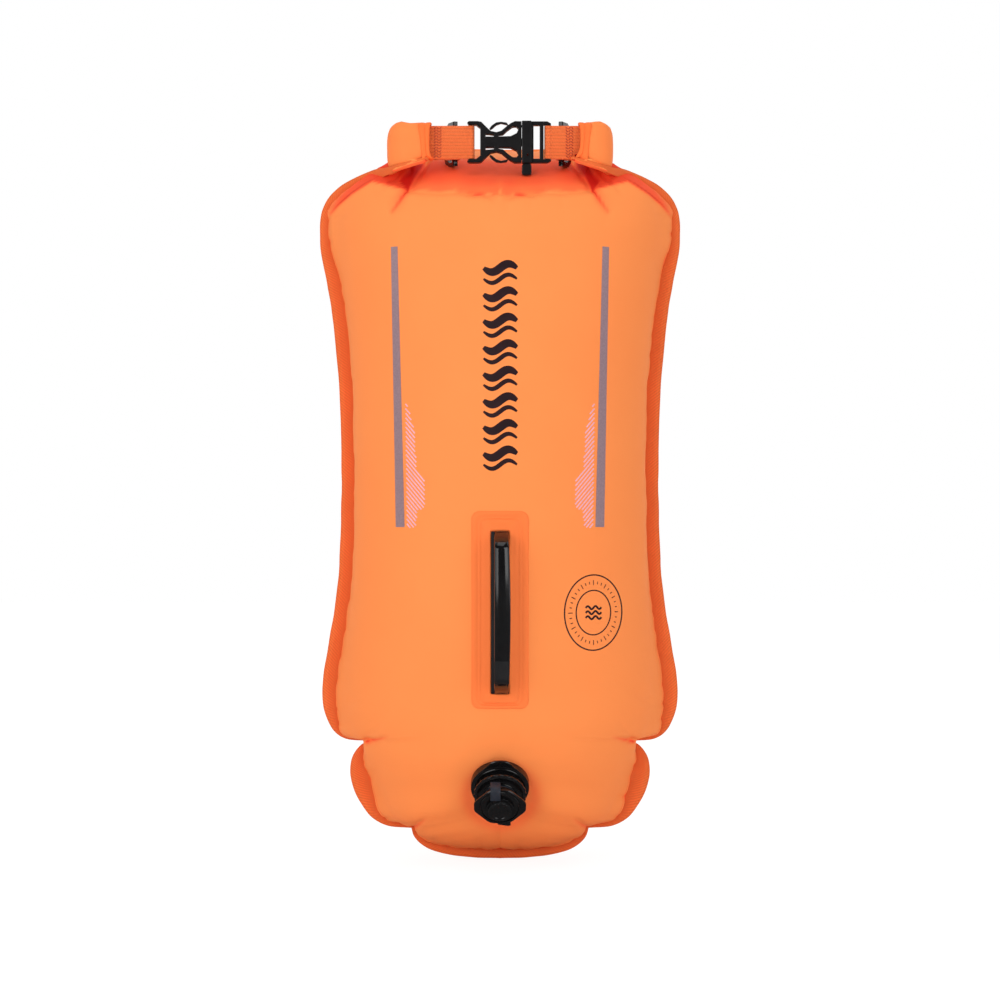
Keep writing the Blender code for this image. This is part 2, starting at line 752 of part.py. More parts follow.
def straps():
    """Webbing at both ends of the collar, folded round the buckle's bars."""
    strap_loop(
        "webbing_left",
        FEMALE_LEFT + FEMALE_BAR_INSET,
        FEMALE_BAR_RADIUS,
        COLLAR_LEFT_END - STRAP_TAIL,
        STRAP_THICKNESS,
        STRAP_EYE_REACH,
        STRAP_WIDTH,
        "orange_webbing",
        COLLAR_FRONT_Y,
        BUCKLE_Z,
    )
    strap_loop(
        "webbing_right",
        BACK_BAR_U,
        BACK_BAR_RADIUS,
        COLLAR_RIGHT_END + STRAP_TAIL,
        STRAP_THICKNESS,
        STRAP_EYE_REACH,
        STRAP_WIDTH,
        "orange_webbing",
        COLLAR_FRONT_Y,
        BUCKLE_Z,
    )


def female_points(shares, side):
    """Points of the female half from shares of its length and of the buckle's half height."""
    return [
        (FEMALE_LEFT + along * FEMALE_LENGTH, side * up * BUCKLE_HALF_TALL)
        for along, up in shares
    ]


def buckle_female():
    """Female half: a flat shell with slots, open at its mouth and at both sides of its waist."""
    frame = facing_front(0.0, BUCKLE_Y, BUCKLE_Z)
    upper = female_points(FEMALE_EDGE_SHARES, 1)
    lower = female_points(FEMALE_EDGE_SHARES, -1)
    loops = [upper + lower[::-1]]
    for side in (1, -1):
        loops.append(female_points(FEMALE_NEAR_SLOT_SHARES, side))
        loops.append(female_points(FEMALE_FAR_SLOT_SHARES, side))
    mesh = outline_mesh("buckle_female", loops, FEMALE_THICKNESS, BUCKLE_EDGE)
    shell = part("buckle_female", mesh, "black_plastic", frame)
    mouth = FEMALE_LEFT + FEMALE_LENGTH
    cavity = box_mesh(
        "female_cavity",
        (mouth - CAVITY_DEPTH, -CAVITY_HALF_TALL, -CAVITY_THICKNESS / 2),
        (mouth + OVERRUN, CAVITY_HALF_TALL, CAVITY_THICKNESS / 2),
    )
    boolean(shell, cutter("female_cavity", cavity, frame))
    bar_u = FEMALE_LEFT + FEMALE_BAR_INSET
    reach = BUCKLE_HALF_TALL - FEMALE_BAR_RADIUS
    bar = cylinder_mesh("female_bar", FEMALE_BAR_RADIUS, -reach, reach, 16)
    upright = Matrix.Translation((bar_u, BUCKLE_Y, BUCKLE_Z))
    boolean(shell, cutter("female_bar", bar, upright), "UNION")


def buckle_male():
    """Male half: whistle block, rails, two bars and the middle prong."""
    frame = facing_front(0.0, BUCKLE_Y, BUCKLE_Z)
    left = FEMALE_LEFT + FEMALE_LENGTH + GAP
    right = left + MALE_BLOCK_WIDTH
    rail_low = BUCKLE_HALF_TALL - MALE_RAIL_TALL
    bar_right = FRONT_BAR_LEFT + FRONT_BAR_WIDTH
    upper = [
        (bar_right, rail_low),
        (MALE_RAIL_END, rail_low),
        (MALE_RAIL_END, BUCKLE_HALF_TALL - MALE_RAIL_TAPER),
        ((bar_right + MALE_RAIL_END) / 2, BUCKLE_HALF_TALL),
        (left + MALE_BLOCK_INSET, BUCKLE_HALF_TALL),
    ]
    lower = [(u, -w) for u, w in upper]
    window_top = rail_low - GAP
    window = [
        (right + MALE_LIP_WIDTH, -window_top),
        (FRONT_BAR_LEFT, -window_top),
        (FRONT_BAR_LEFT, window_top),
        (right + MALE_LIP_WIDTH, window_top),
    ]
    mesh = outline_mesh(
        "buckle_male", [upper + lower[::-1], window], MALE_RAIL_THICKNESS, BUCKLE_EDGE
    )
    male = part("buckle_male", mesh, "black_plastic", frame)
    block_half = BUCKLE_HALF_TALL + MALE_BLOCK_PROUD
    block = box_mesh(
        "male_block",
        (left, -block_half, -MALE_BLOCK_BACK),
        (right, block_half, MALE_BLOCK_FRONT),
    )
    block = cutter("male_block", block, frame)
    bevel = block.modifiers.new("edges", "BEVEL")
    bevel.width = BUCKLE_EDGE
    bevel.segments = 2
    boolean(male, block, "UNION")
    lap = MALE_RAIL_TALL / 2
    rod = cylinder_mesh("male_back_bar", BACK_BAR_RADIUS, -rail_low - lap, rail_low + lap, 16)
    upright = Matrix.Translation((BACK_BAR_U, BUCKLE_Y, BUCKLE_Z))
    boolean(male, cutter("male_back_bar", rod, upright), "UNION")
    prong_tip = left - PRONG_LENGTH
    prong = outline_mesh(
        "male_prong",
        [
            (
                (left + BUCKLE_EDGE * 2, -PRONG_HALF_TALL),
                (left + BUCKLE_EDGE * 2, PRONG_HALF_TALL),
                (prong_tip + PRONG_HALF_TALL, PRONG_HALF_TALL),
                (prong_tip, PRONG_HALF_TALL / 2),
                (prong_tip, -PRONG_HALF_TALL / 2),
                (prong_tip + PRONG_HALF_TALL, -PRONG_HALF_TALL),
            )
        ],
        PRONG_THICKNESS,
        BUCKLE_EDGE,
    )
    boolean(male, cutter("male_prong", prong, frame), "UNION")
    hole = cylinder_mesh(
        "sound_hole",
        SOUND_HOLE_RADIUS,
        -MALE_BLOCK_BACK - OVERRUN,
        MALE_BLOCK_FRONT + OVERRUN,
        12,
        (right - DUCT_WALL - DUCT_WIDTH / 2, SOUND_HOLE_W),
    )
    boolean(male, cutter("sound_hole", hole, frame))
    duct = box_mesh(
        "whistle_duct",
        (right - DUCT_WALL - DUCT_WIDTH, -block_half - OVERRUN, -DUCT_THICKNESS / 2),
        (right - DUCT_WALL, -BUCKLE_HALF_TALL + DUCT_LENGTH, DUCT_THICKNESS / 2),
    )
    boolean(male, cutter("whistle_duct", duct, frame))
    for side, name in ((1, "upper"), (-1, "lower")):
        room = ARM_ROOT_RADIUS + GAP
        pivot = side * ARM_PIVOT_W
        notch = box_mesh(
            "arm_notch_" + name,
            (left - OVERRUN, pivot - ARM_NOTCH_HALF, -CAVITY_THICKNESS / 2),
            (left + ARM_PIVOT_INSET + room, pivot + ARM_NOTCH_HALF, CAVITY_THICKNESS / 2),
        )
        boolean(male, cutter("arm_notch_" + name, notch, frame))


def latch_arms():
    """Two sprung arms of the male half, each turning about its root. The lower one is the mirror image."""
    pivot_u = FEMALE_LEFT + FEMALE_LENGTH + GAP + ARM_PIVOT_INSET
    points = [(-along * ARM_REACH, up * ARM_RISE) for along, up in ARM_EDGE_SHARES]
    for turn in map(math.radians, ARM_ROOT_ANGLES):
        points.append((ARM_ROOT_RADIUS * math.cos(turn), ARM_ROOT_RADIUS * math.sin(turn)))
    for side, name in ((1, "upper"), (-1, "lower")):
        mesh = outline_mesh("buckle_arm_" + name, [points], ARM_THICKNESS, BUCKLE_EDGE / 2)
        frame = facing_front(pivot_u, BUCKLE_Y, BUCKLE_Z + side * ARM_PIVOT_W)
        mirror = Matrix.Diagonal((1.0, side, 1.0, 1.0))
        part("buckle_arm_" + name, mesh, "black_plastic", frame @ mirror)


def whistle_mouthpiece():
    """Tube pushed into the whistle block from below."""
    left = FEMALE_LEFT + FEMALE_LENGTH + GAP
    duct = left + MALE_BLOCK_WIDTH - DUCT_WALL - DUCT_WIDTH / 2
    plug_top = -BUCKLE_HALF_TALL + MOUTHPIECE_PLUG
    shoulder = -BUCKLE_HALF_TALL - MALE_BLOCK_PROUD - GAP
    plug_half = DUCT_WIDTH / 2 - GAP
    plug_thick = DUCT_THICKNESS / 2 - GAP
    lip_half = MALE_BLOCK_WIDTH / 2
    lip_tall = (shoulder + MOUTHPIECE_REACH) / 2
    lip = rounded_rectangle(
        lip_half, lip_tall, MOUTHPIECE_CORNER, 3, (left + lip_half, shoulder - lip_tall)
    )
    frame = facing_front(0.0, BUCKLE_Y, BUCKLE_Z)
    mesh = outline_mesh("whistle_mouthpiece", [lip], MOUTHPIECE_THICKNESS, BUCKLE_EDGE)
    piece = part("whistle_mouthpiece", mesh, "black_plastic", frame)
    plug = box_mesh(
        "mouthpiece_plug",
        (duct - plug_half, shoulder - lip_tall, -plug_thick),
        (duct + plug_half, plug_top, plug_thick),
    )
    boolean(piece, cutter("mouthpiece_plug", plug, frame), "UNION")
    bore = box_mesh(
        "mouthpiece_bore",
        (
            duct - plug_half + MOUTHPIECE_WALL,
            -MOUTHPIECE_REACH - OVERRUN,
            -plug_thick + MOUTHPIECE_WALL,
        ),
        (
            duct + plug_half - MOUTHPIECE_WALL,
            plug_top + OVERRUN,
            plug_thick - MOUTHPIECE_WALL,
        ),
    )
    boolean(piece, cutter("mouthpiece_bore", bore, frame))


def rings():
    """Moulded rings behind the strap, each in a webbing keeper sewn to the collar's end."""
    keeper_y = COLLAR_FRONT_Y + COLLAR_THICKNESS / 2 + GAP + KEEPER_THICKNESS
    for name, x, end in (
        ("left", RING_LEFT_X, COLLAR_LEFT_END),
        ("right", RING_RIGHT_X, COLLAR_RIGHT_END),
    ):
        side = math.copysign(1.0, x)
        half_bar = RING_BAR / 2
        outer = [(-half_bar, RING_HALF_TALL)]
        outer += [(RING_DEPTH * out, RING_HALF_TALL * up) for out, up in RING_EDGE_SHARES]
        outer.append((RING_DEPTH, RING_LAND / 2 + half_bar))
        inner = [(half_bar, RING_HOLE_HALF_TALL)]
        inner += [(RING_HOLE_DEPTH * out, RING_HOLE_HALF_TALL * up) for out, up in RING_HOLE_SHARES]
        inner.append((RING_HOLE_DEPTH, RING_LAND / 2))
        loops = [line + [(out, -up) for out, up in line[::-1]] for line in (outer, inner)]
        mesh = outline_mesh("ring_" + name, loops, RING_BAR, RING_EDGE)
        turn = RING_TURN if side > 0 else math.pi - RING_TURN
        frame = (
            Matrix.Translation((x, RING_Y, BUCKLE_Z))
            @ Matrix.Rotation(turn, 4, "Z")
            @ Matrix.Rotation(math.radians(90), 4, "X")
        )
        part("ring_" + name, mesh, "black_plastic", frame)
        strap_loop(
            "ring_keeper_" + name,
            x,
            RING_BAR * RING_BAR_EYE_SHARE,
            end + side * KEEPER_TAIL,
            KEEPER_THICKNESS,
            RING_EYE_REACH,
            KEEPER_WIDTH,
            "orange_webbing",
            RING_Y,
            BUCKLE_Z,
            keeper_y - RING_Y,
        )


def front_layer(name, loops, start, thickness):
    """A layer round some outlines, from a height over the panel's outer face, to cut other pieces."""
    mesh = panel_skin(name, -1)
    shape = bmesh.new()
    shape.from_mesh(mesh)
    low = [min(point[i] for loop in loops for point in loop) - LAYER_MARGIN for i in (0, 1)]
    high = [max(point[i] for loop in loops for point in loop) + LAYER_MARGIN for i in (0, 1)]
    apart = [
        face
        for face in shape.faces
        if any(v.co.y > -SEAM_CLEARANCE for v in face.verts)
        or not any(low[0] < v.co.x < high[0] and low[1] < v.co.z < high[1] for v in face.verts)
    ]
    bmesh.ops.delete(shape, geom=apart, context="FACES")
    shape.to_mesh(mesh)
    shape.free()
    layer = cutter(name, mesh)
    thicken(layer, PANEL_WALL + start, thickness)
    return layer


def skin_piece(name, loops, start, thickness, look):
    """A thin piece lying on the front panel, cut to an outline seen from the front."""
    layer = front_layer(name + "_layer", loops, start, thickness)
    reach = BAG_DEPTH + OVERRUN
    mesh = outline_mesh(name, loops, reach)
    obj = part(name, mesh, look, facing_front(0.0, -reach / 2 - OVERRUN, 0.0))
    boolean(obj, layer, "INTERSECT")
    return obj


def handle():
    """Welded patch with a window, the strip that backs the window and the arched handle over it."""
    patch = rounded_rectangle(PATCH_HALF_WIDTH, PATCH_TALL / 2, PATCH_CORNER, 4, (0.0, PATCH_Z))
    window = rounded_rectangle(WINDOW_HALF_WIDTH, WINDOW_TALL / 2, WINDOW_CORNER, 2, (0.0, WINDOW_Z))
    skin_piece("handle_patch", [patch, window], GAP, PATCH_THICKNESS, "orange_fabric")
    strip = rounded_rectangle(
        WINDOW_HALF_WIDTH - GAP,
        WINDOW_TALL / 2 - GAP,
        WINDOW_CORNER,
        2,
        (0.0, WINDOW_Z),
    )
    skin_piece("handle_base_strip", [strip], GAP, BASE_STRIP_THICKNESS, "black_rubber")
    half = WINDOW_TALL / 2 - GAP * 2
    surface = BAG_DEPTH + PANEL_WALL + GAP / 2
    rise = surface + HANDLE_RISE
    inner = rise - HANDLE_THICKNESS
    foot = surface - HANDLE_SINK
    profile = [
        (-half, foot),
        (-half, surface + HANDLE_THICKNESS),
        (-half + HANDLE_SHOULDER / 2, inner),
        (-half + HANDLE_SHOULDER, rise),
        (half - HANDLE_SHOULDER, rise),
        (half - HANDLE_SHOULDER / 2, inner),
        (half, surface + HANDLE_THICKNESS),
        (half, foot),
        (half - HANDLE_FOOT, foot),
        (half - HANDLE_FOOT, surface + HANDLE_THICKNESS),
        (half - HANDLE_SHOULDER, inner),
        (-half + HANDLE_SHOULDER, inner),
        (-half + HANDLE_FOOT, surface + HANDLE_THICKNESS),
        (-half + HANDLE_FOOT, foot),
    ]
    mesh = outline_mesh("handle_strap", [profile], HANDLE_HALF_WIDTH * 2, BUCKLE_EDGE)
    # The outline's X runs up the bag and its Y out of the front
    turn = Matrix(((0, 0, 1, HANDLE_X), (0, -1, 0, 0), (1, 0, 0, WINDOW_Z), (0, 0, 0, 1)))
    strap = part("handle_strap", mesh, "gloss_black", turn)
    seat = front_layer("handle_seat", [window], -OVERRUN, OVERRUN + GAP * 2 + BASE_STRIP_THICKNESS)
    boolean(strap, seat)


def strips():
    """Reflective strips down both sides of the front."""
    for side, name in ((-1, "left"), (1, "right")):
        outline = [
            (side * (STRIP_TOP_X - STRIP_TOP_WIDTH / 2), STRIP_TOP_Z),
            (side * (STRIP_TOP_X + STRIP_TOP_WIDTH / 2), STRIP_TOP_Z),
            (side * (STRIP_FOOT_X + STRIP_FOOT_WIDTH / 2), STRIP_FOOT_Z),
            (side * (STRIP_FOOT_X - STRIP_FOOT_WIDTH / 2), STRIP_FOOT_Z),
        ]
        skin_piece("reflective_strip_" + name, [outline], GAP, STRIP_THICKNESS, "grey_reflective")


def centre_line_y(z):
    """Where the front panel's middle line lies at a height."""
    rows = [(row[2] * BAG_HEIGHT, row[3] * BAG_DEPTH) for row in PANEL_ROW_SHARES]
    for (low, near), (high, far) in zip(rows, rows[1:]):
        if low <= z <= high:
            return -lerp(near, far, (z - low) / (high - low)) - PANEL_WALL - GAP / 2
    return -BAG_DEPTH


def valve_frame():
    """Seat of the valve on the panel, with Z along the valve's axis and Y up the bag."""
    seat = Vector((0.0, centre_line_y(VALVE_Z), VALVE_Z))
    axis = Vector((0.0, -math.cos(VALVE_TILT), -math.sin(VALVE_TILT)))
    up = Vector((0.0, -math.sin(VALVE_TILT), math.cos(VALVE_TILT)))
    across = up.cross(axis)
    turn = Matrix((across, up, axis)).transposed().to_4x4()
    return Matrix.Translation(seat) @ turn


def valve(front):
    """Inflation valve: base welded through the panel, screwed body, flap, cap and tether."""
    frame = valve_frame()
    hole = cylinder_mesh("valve_hole", BASE_BOSS_RADIUS + GAP, -BASE_BOSS_DEPTH, BASE_TOP)
    hole = cutter("valve_hole", hole, frame)
    boolean(front, hole)

    base = turned(
        "valve_base",
        (
            (BASE_BORE_RADIUS, BASE_COLLAR_TOP),
            (BASE_COLLAR_RADIUS, BASE_COLLAR_TOP),
            (BASE_COLLAR_RADIUS, BASE_TOP),
            (BASE_RADIUS - BUCKLE_EDGE, BASE_TOP),
            (BASE_RADIUS, BASE_TOP - BUCKLE_EDGE),
            (BASE_RADIUS, -BASE_SKIRT),
            (BASE_BOSS_RADIUS, -BASE_SKIRT),
            (BASE_BOSS_RADIUS, -BASE_BOSS_DEPTH),
            (BASE_BORE_RADIUS, -BASE_BOSS_DEPTH),
        ),
        "black_plastic",
        frame,
    )
    tab = box_mesh(
        "valve_tab",
        (-BASE_TAB_WIDTH / 2, BASE_RADIUS / 2 + BASE_BORE_RADIUS / 2, BASE_TAB_BOTTOM),
        (BASE_TAB_WIDTH / 2, BASE_TAB_REACH, BASE_TOP - BUCKLE_EDGE),
    )
    boolean(base, cutter("valve_tab", tab, frame), "UNION")
    around = [circle(BASE_RADIUS, 8, (0.0, VALVE_Z))]
    depth = BASE_BOSS_DEPTH + OVERRUN
    seat = front_layer("valve_seat", around, GAP, -GAP - depth)
    keep = cylinder_mesh("seat_window", BASE_BOSS_RADIUS - GAP / 2, -depth * 2, BASE_TOP)
    boolean(seat, cutter("seat_window", keep, frame))
    boolean(base, seat)

    layer = front_layer("backing_layer", around, -PANEL_WALL - GAP, -BACKING_THICKNESS)
    ring = outline_mesh(
        "valve_backing_ring",
        (circle(BACKING_RADIUS, VALVE_STEPS), circle(BASE_BOSS_RADIUS + GAP, VALVE_STEPS)),
        BASE_BOSS_DEPTH * 2,
    )
    backing = part("valve_backing_ring", ring, "orange_fabric", frame)
    boolean(backing, layer, "INTERSECT")
    return frame


def valve_insert(frame):
    """What screws into the valve base: gasket, body with its flap, cap and tether."""
    flange_bottom = BASE_COLLAR_TOP + GAP * 2 + GASKET_WIRE * 2
    middle = (GASKET_RADIUS, BASE_COLLAR_TOP + GAP + GASKET_WIRE)
    turned("valve_gasket", circle(GASKET_WIRE, GASKET_STEPS, middle)[::-1], "black_rubber", frame)

    screw_radius = BASE_BORE_RADIUS - GAP
    flange_top = flange_bottom + BODY_FLANGE_THICKNESS
    screw_end = flange_bottom - SCREW_LENGTH
    seat_z = screw_end + STEM_LENGTH
    body = turned(
        "valve_body",
        (
            (BODY_BORE_RADIUS, BODY_NECK_TOP),
            (BODY_LIP_RADIUS, BODY_NECK_TOP),
            (BODY_LIP_RADIUS, TETHER_SEAT_Z + TETHER_SEAT_TALL),
            (BODY_LIP_RADIUS - GAP * 3, TETHER_SEAT_Z + TETHER_SEAT_TALL),
            (BODY_LIP_RADIUS - GAP * 3, TETHER_SEAT_Z),
            (BODY_NECK_RADIUS, TETHER_SEAT_Z),
            (BODY_NECK_RADIUS, flange_top),
            (BODY_FLANGE_RADIUS - BUCKLE_EDGE, flange_top),
            (BODY_FLANGE_RADIUS, flange_top - BUCKLE_EDGE),
            (BODY_FLANGE_RADIUS, flange_bottom),
            (screw_radius, flange_bottom),
            (screw_radius, screw_end),
            (BODY_BORE_RADIUS, screw_end),
        ),
        "black_plastic",
        frame,
    )
    seat = cylinder_mesh(
        "body_seat",
        (BODY_BORE_RADIUS + screw_radius) / 2,
        seat_z,
        seat_z + BODY_SEAT_THICKNESS,
    )
    boolean(body, cutter("body_seat", seat, frame), "UNION")
    for index in range(AIR_HOLE_COUNT):
        angle = math.tau * index / AIR_HOLE_COUNT
        centre = (AIR_HOLE_RING * math.cos(angle), AIR_HOLE_RING * math.sin(angle))
        low = seat_z - OVERRUN / 2
        high = seat_z + BODY_SEAT_THICKNESS + OVERRUN / 2
        hole = cylinder_mesh("air_hole", AIR_HOLE_RADIUS, low, high, 16, centre)
        boolean(body, cutter("air_hole_" + str(index + 1), hole, frame))
    low = seat_z - OVERRUN / 2
    high = seat_z + BODY_SEAT_THICKNESS + OVERRUN / 2
    hole = cylinder_mesh("stem_hole", STEM_HOLE_RADIUS, low, high, 16)
    boolean(body, cutter("stem_hole", hole, frame))

    flap_top = seat_z - GAP
    stem_top = seat_z + BODY_SEAT_THICKNESS + FLAP_TRAVEL + GAP
    turned(
        "valve_flap",
        (
            (0.0, stem_top + STEM_BULB_TALL),
            (STEM_RADIUS, stem_top + STEM_BULB_TALL),
            (STEM_BULB_RADIUS, stem_top),
            (STEM_RADIUS, stem_top),
            (STEM_RADIUS, flap_top),
            (FLAP_RADIUS, flap_top),
            (FLAP_RADIUS, flap_top - FLAP_THICKNESS),
            (0.0, flap_top - FLAP_THICKNESS),
        ),
        "black_rubber",
        frame,
        24,
    )

    skirt_bottom = TETHER_SEAT_Z + TETHER_SEAT_TALL + GAP
    cap_under = BODY_NECK_TOP + GAP
    plug_bottom = BODY_NECK_TOP - CAP_PLUG_DEPTH
    cap = turned(
        "valve_cap",
        (
            (0.0, CAP_KNOB_TOP),
            (CAP_KNOB_RADIUS - BUCKLE_EDGE, CAP_KNOB_TOP),
            (CAP_KNOB_RADIUS, CAP_KNOB_TOP - BUCKLE_EDGE),
            (CAP_KNOB_RADIUS, CAP_TOP),
            (CAP_SKIRT_RADIUS - BUCKLE_EDGE, CAP_TOP),
            (CAP_SKIRT_RADIUS, CAP_TOP - BUCKLE_EDGE),
            (CAP_SKIRT_RADIUS, skirt_bottom),
            (BODY_LIP_RADIUS + GAP, skirt_bottom),
            (BODY_LIP_RADIUS + GAP, cap_under),
            (CAP_PLUG_RADIUS, cap_under),
            (CAP_PLUG_RADIUS, plug_bottom),
            (0.0, plug_bottom),
        ),
        "black_plastic",
        frame,
    )
    half_width = CAP_WING_WIDTH / 2
    tip = half_width / 2
    shoulder = CAP_SKIRT_RADIUS * CAP_SHOULDER_SHARE
    corners = [
        (-CAP_WING_RADIUS, -tip),
        (-shoulder, -half_width - tip),
        (shoulder, -half_width - tip),
        (CAP_WING_RADIUS, -tip),
    ]
    corners += [(across, -up) for across, up in corners[::-1]]
    wings = outline_mesh("cap_wings", [corners], CAP_WING_THICKNESS, BUCKLE_EDGE / 2)
    lift = CAP_TOP - CAP_WING_THICKNESS / 2 - BUCKLE_EDGE
    wings = cutter("cap_wings", wings, frame @ Matrix.Translation((0.0, 0.0, lift)))
    boolean(cap, wings, "UNION")

    inner = BODY_LIP_RADIUS - GAP * 2
    outer = inner + TETHER_RING_WALL
    low = TETHER_SEAT_Z + GAP
    ring = turned(
        "cap_tether",
        (
            (outer, low + TETHER_THICKNESS),
            (outer, low),
            (inner, low),
            (inner, low + TETHER_THICKNESS),
        ),
        "black_rubber",
        frame,
    )
    reach = CAP_SKIRT_RADIUS + GAP * 2 + TETHER_THICKNESS
    top = CAP_KNOB_TOP + GAP * 2 + TETHER_THICKNESS
    foot = low + GAP / 3
    strap = [
        (outer - TETHER_RING_WALL / 2, foot),
        (reach, foot),
        (reach, CAP_TOP + TETHER_THICKNESS),
        (CAP_KNOB_RADIUS + TETHER_THICKNESS * 2, top - TETHER_DROP),
        (CAP_KNOB_RADIUS, top),
        (CAP_KNOB_RADIUS / 2, top),
        (CAP_KNOB_RADIUS / 2, top - TETHER_THICKNESS),
        (CAP_KNOB_RADIUS - GAP, top - TETHER_THICKNESS),
        (CAP_KNOB_RADIUS + TETHER_THICKNESS, CAP_TOP + TETHER_THICKNESS),
        (reach - TETHER_THICKNESS, CAP_TOP),
        (reach - TETHER_THICKNESS, foot + TETHER_THICKNESS / 2),
        (outer - TETHER_RING_WALL / 2, foot + TETHER_THICKNESS / 2),
    ]
    band = outline_mesh("tether_band", [strap], TETHER_WIDTH)
    # The band's outline runs out along the valve's Y and up its Z
    stand = Matrix(((0, 0, 1, 0), (1, 0, 0, 0), (0, 1, 0, 0), (0, 0, 0, 1)))
    boolean(ring, cutter("tether_band", band, frame @ stand), "UNION")


def rest_pad(back):
    """Cuts the back panel flat where the bag rests when it lies on its back."""
    deepest = BAG_DEPTH + PANEL_WALL + GAP / 2
    block = box_mesh(
        "rest_pad",
        (-HALF_WIDTH, deepest - REST_CUT, 0.0),
        (HALF_WIDTH, deepest + OVERRUN, BAG_HEIGHT),
    )
    boolean(back, cutter("rest_pad", block))


def main():
    clear_scene()
    collection(COLLECTION)
    collection("cutters")
    front, back = panels()
    rest_pad(back)
    collar()
    straps()
    buckle_female()
    buckle_male()
    latch_arms()
    whistle_mouthpiece()
    rings()
    handle()
    strips()
    valve_insert(valve(front))
    for obj in bpy.data.objects:
        obj.matrix_world = Matrix.Translation((0.0, FRONT_OVERHANG / 2, 0.0)) @ obj.matrix_world


main()
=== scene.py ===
"""Open water swim buoy: the pieces that show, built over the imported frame. Lengths are in metres."""

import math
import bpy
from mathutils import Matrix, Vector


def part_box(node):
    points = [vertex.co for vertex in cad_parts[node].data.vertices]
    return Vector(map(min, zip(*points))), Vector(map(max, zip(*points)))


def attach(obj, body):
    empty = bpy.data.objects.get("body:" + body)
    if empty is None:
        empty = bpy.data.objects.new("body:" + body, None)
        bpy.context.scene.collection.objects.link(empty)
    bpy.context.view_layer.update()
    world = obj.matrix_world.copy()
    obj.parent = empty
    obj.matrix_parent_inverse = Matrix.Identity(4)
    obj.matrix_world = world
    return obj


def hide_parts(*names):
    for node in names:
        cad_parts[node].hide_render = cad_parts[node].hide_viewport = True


bl_info = {
    "name": "Open Water Swim Buoy",
    "version": (1, 0, 0),
    "blender": (4, 5, 0),
    "location": "View3D > Sidebar > Swim Buoy",
    "description": "Builds an inflated tow buoy with its rolled closure, whistle buckle, handle and valve",
    "category": "Object",
}

import bmesh
import bpy
import numpy as np
from bpy.props import FloatProperty, FloatVectorProperty, PointerProperty
from mathutils import Matrix, Vector, noise
from mathutils.bvhtree import BVHTree

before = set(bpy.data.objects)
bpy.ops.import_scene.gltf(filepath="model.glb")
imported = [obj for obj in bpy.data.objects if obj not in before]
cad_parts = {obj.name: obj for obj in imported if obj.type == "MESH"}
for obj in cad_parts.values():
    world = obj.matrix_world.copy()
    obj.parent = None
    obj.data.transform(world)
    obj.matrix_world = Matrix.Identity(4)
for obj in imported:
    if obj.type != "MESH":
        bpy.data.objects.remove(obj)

MM = 0.001

# Camera, set by the photograph's frame: the side seam lies in the plane that the pixel size is for
PIXEL = 0.79 * MM
PHOTO_SIDE = 1000
SEAM_Y = 10.75 * MM
CAMERA_DISTANCE = 2.2
CAMERA_Z = 0.291
FRAME_FOOT = 858
FRAME_MIDDLE = 500

# Bag, as in the frame
HALF_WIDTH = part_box("front_panel")[1].x
BAG_HEIGHT = 545 * MM
BAG_DEPTH = 108 * MM
WALL = 1.1 * MM
SEAM_GAP = 0.15 * MM

# Rows of both panels from the bottom seam to the shoulder. Shares of half width, seam height and
# centre height of the bag, and of its depth.
BODY_ROW_SHARES = (
    (0, 0, 0.017, 0), (0.144, 0.001, 0.022, 0.16), (0.278, 0.005, 0.030, 0.27), (0.367, 0.011, 0.040, 0.37),
    (0.439, 0.021, 0.053, 0.47), (0.478, 0.032, 0.066, 0.54), (0.492, 0.044, 0.080, 0.60), (0.622, 0.047, 0.094, 0.66),
    (0.711, 0.059, 0.108, 0.72), (0.772, 0.080, 0.124, 0.78), (0.814, 0.101, 0.140, 0.83), (0.832, 0.125, 0.156, 0.87),
    (0.822, 0.146, 0.170, 0.89), (0.778, 0.162, 0.182, 0.905), (0.733, 0.170, 0.194, 0.915),
    (0.856, 0.173, 0.206, 0.925), (0.922, 0.184, 0.218, 0.93), (0.964, 0.206, 0.234, 0.935),
    (0.986, 0.229, 0.250, 0.94), (0.981, 0.265, 0.278, 0.955), (0.956, 0.304, 0.310, 0.97),
    (0.925, 0.352, 0.354, 0.985), (0.897, 0.410, 0.410, 1), (0.882, 0.500, 0.500, 1), (0.881, 0.590, 0.590, 1),
    (0.892, 0.678, 0.678, 0.995), (0.911, 0.736, 0.734, 0.985), (0.933, 0.791, 0.784, 0.97),
    (0.967, 0.841, 0.828, 0.95), (0.994, 0.877, 0.862, 0.93),
)
NOTCH_ROWS = (6, 14)

# Width of the welded flange on each of these rows, in millimetres
FLANGE_WIDTHS = (
    8.0, 8.0, 8.0, 7.5, 6.5, 4.5, 2.6, 5.5, 8.5, 12.5, 15.0, 15.0, 11.0, 5.5, 2.4, 4.2, 7.2, 10.5, 12.0, 12.6,
    12.2, 11.8, 11.8, 11.8, 11.8, 11.8, 12.0, 12.2, 11.6, 10.6,
)

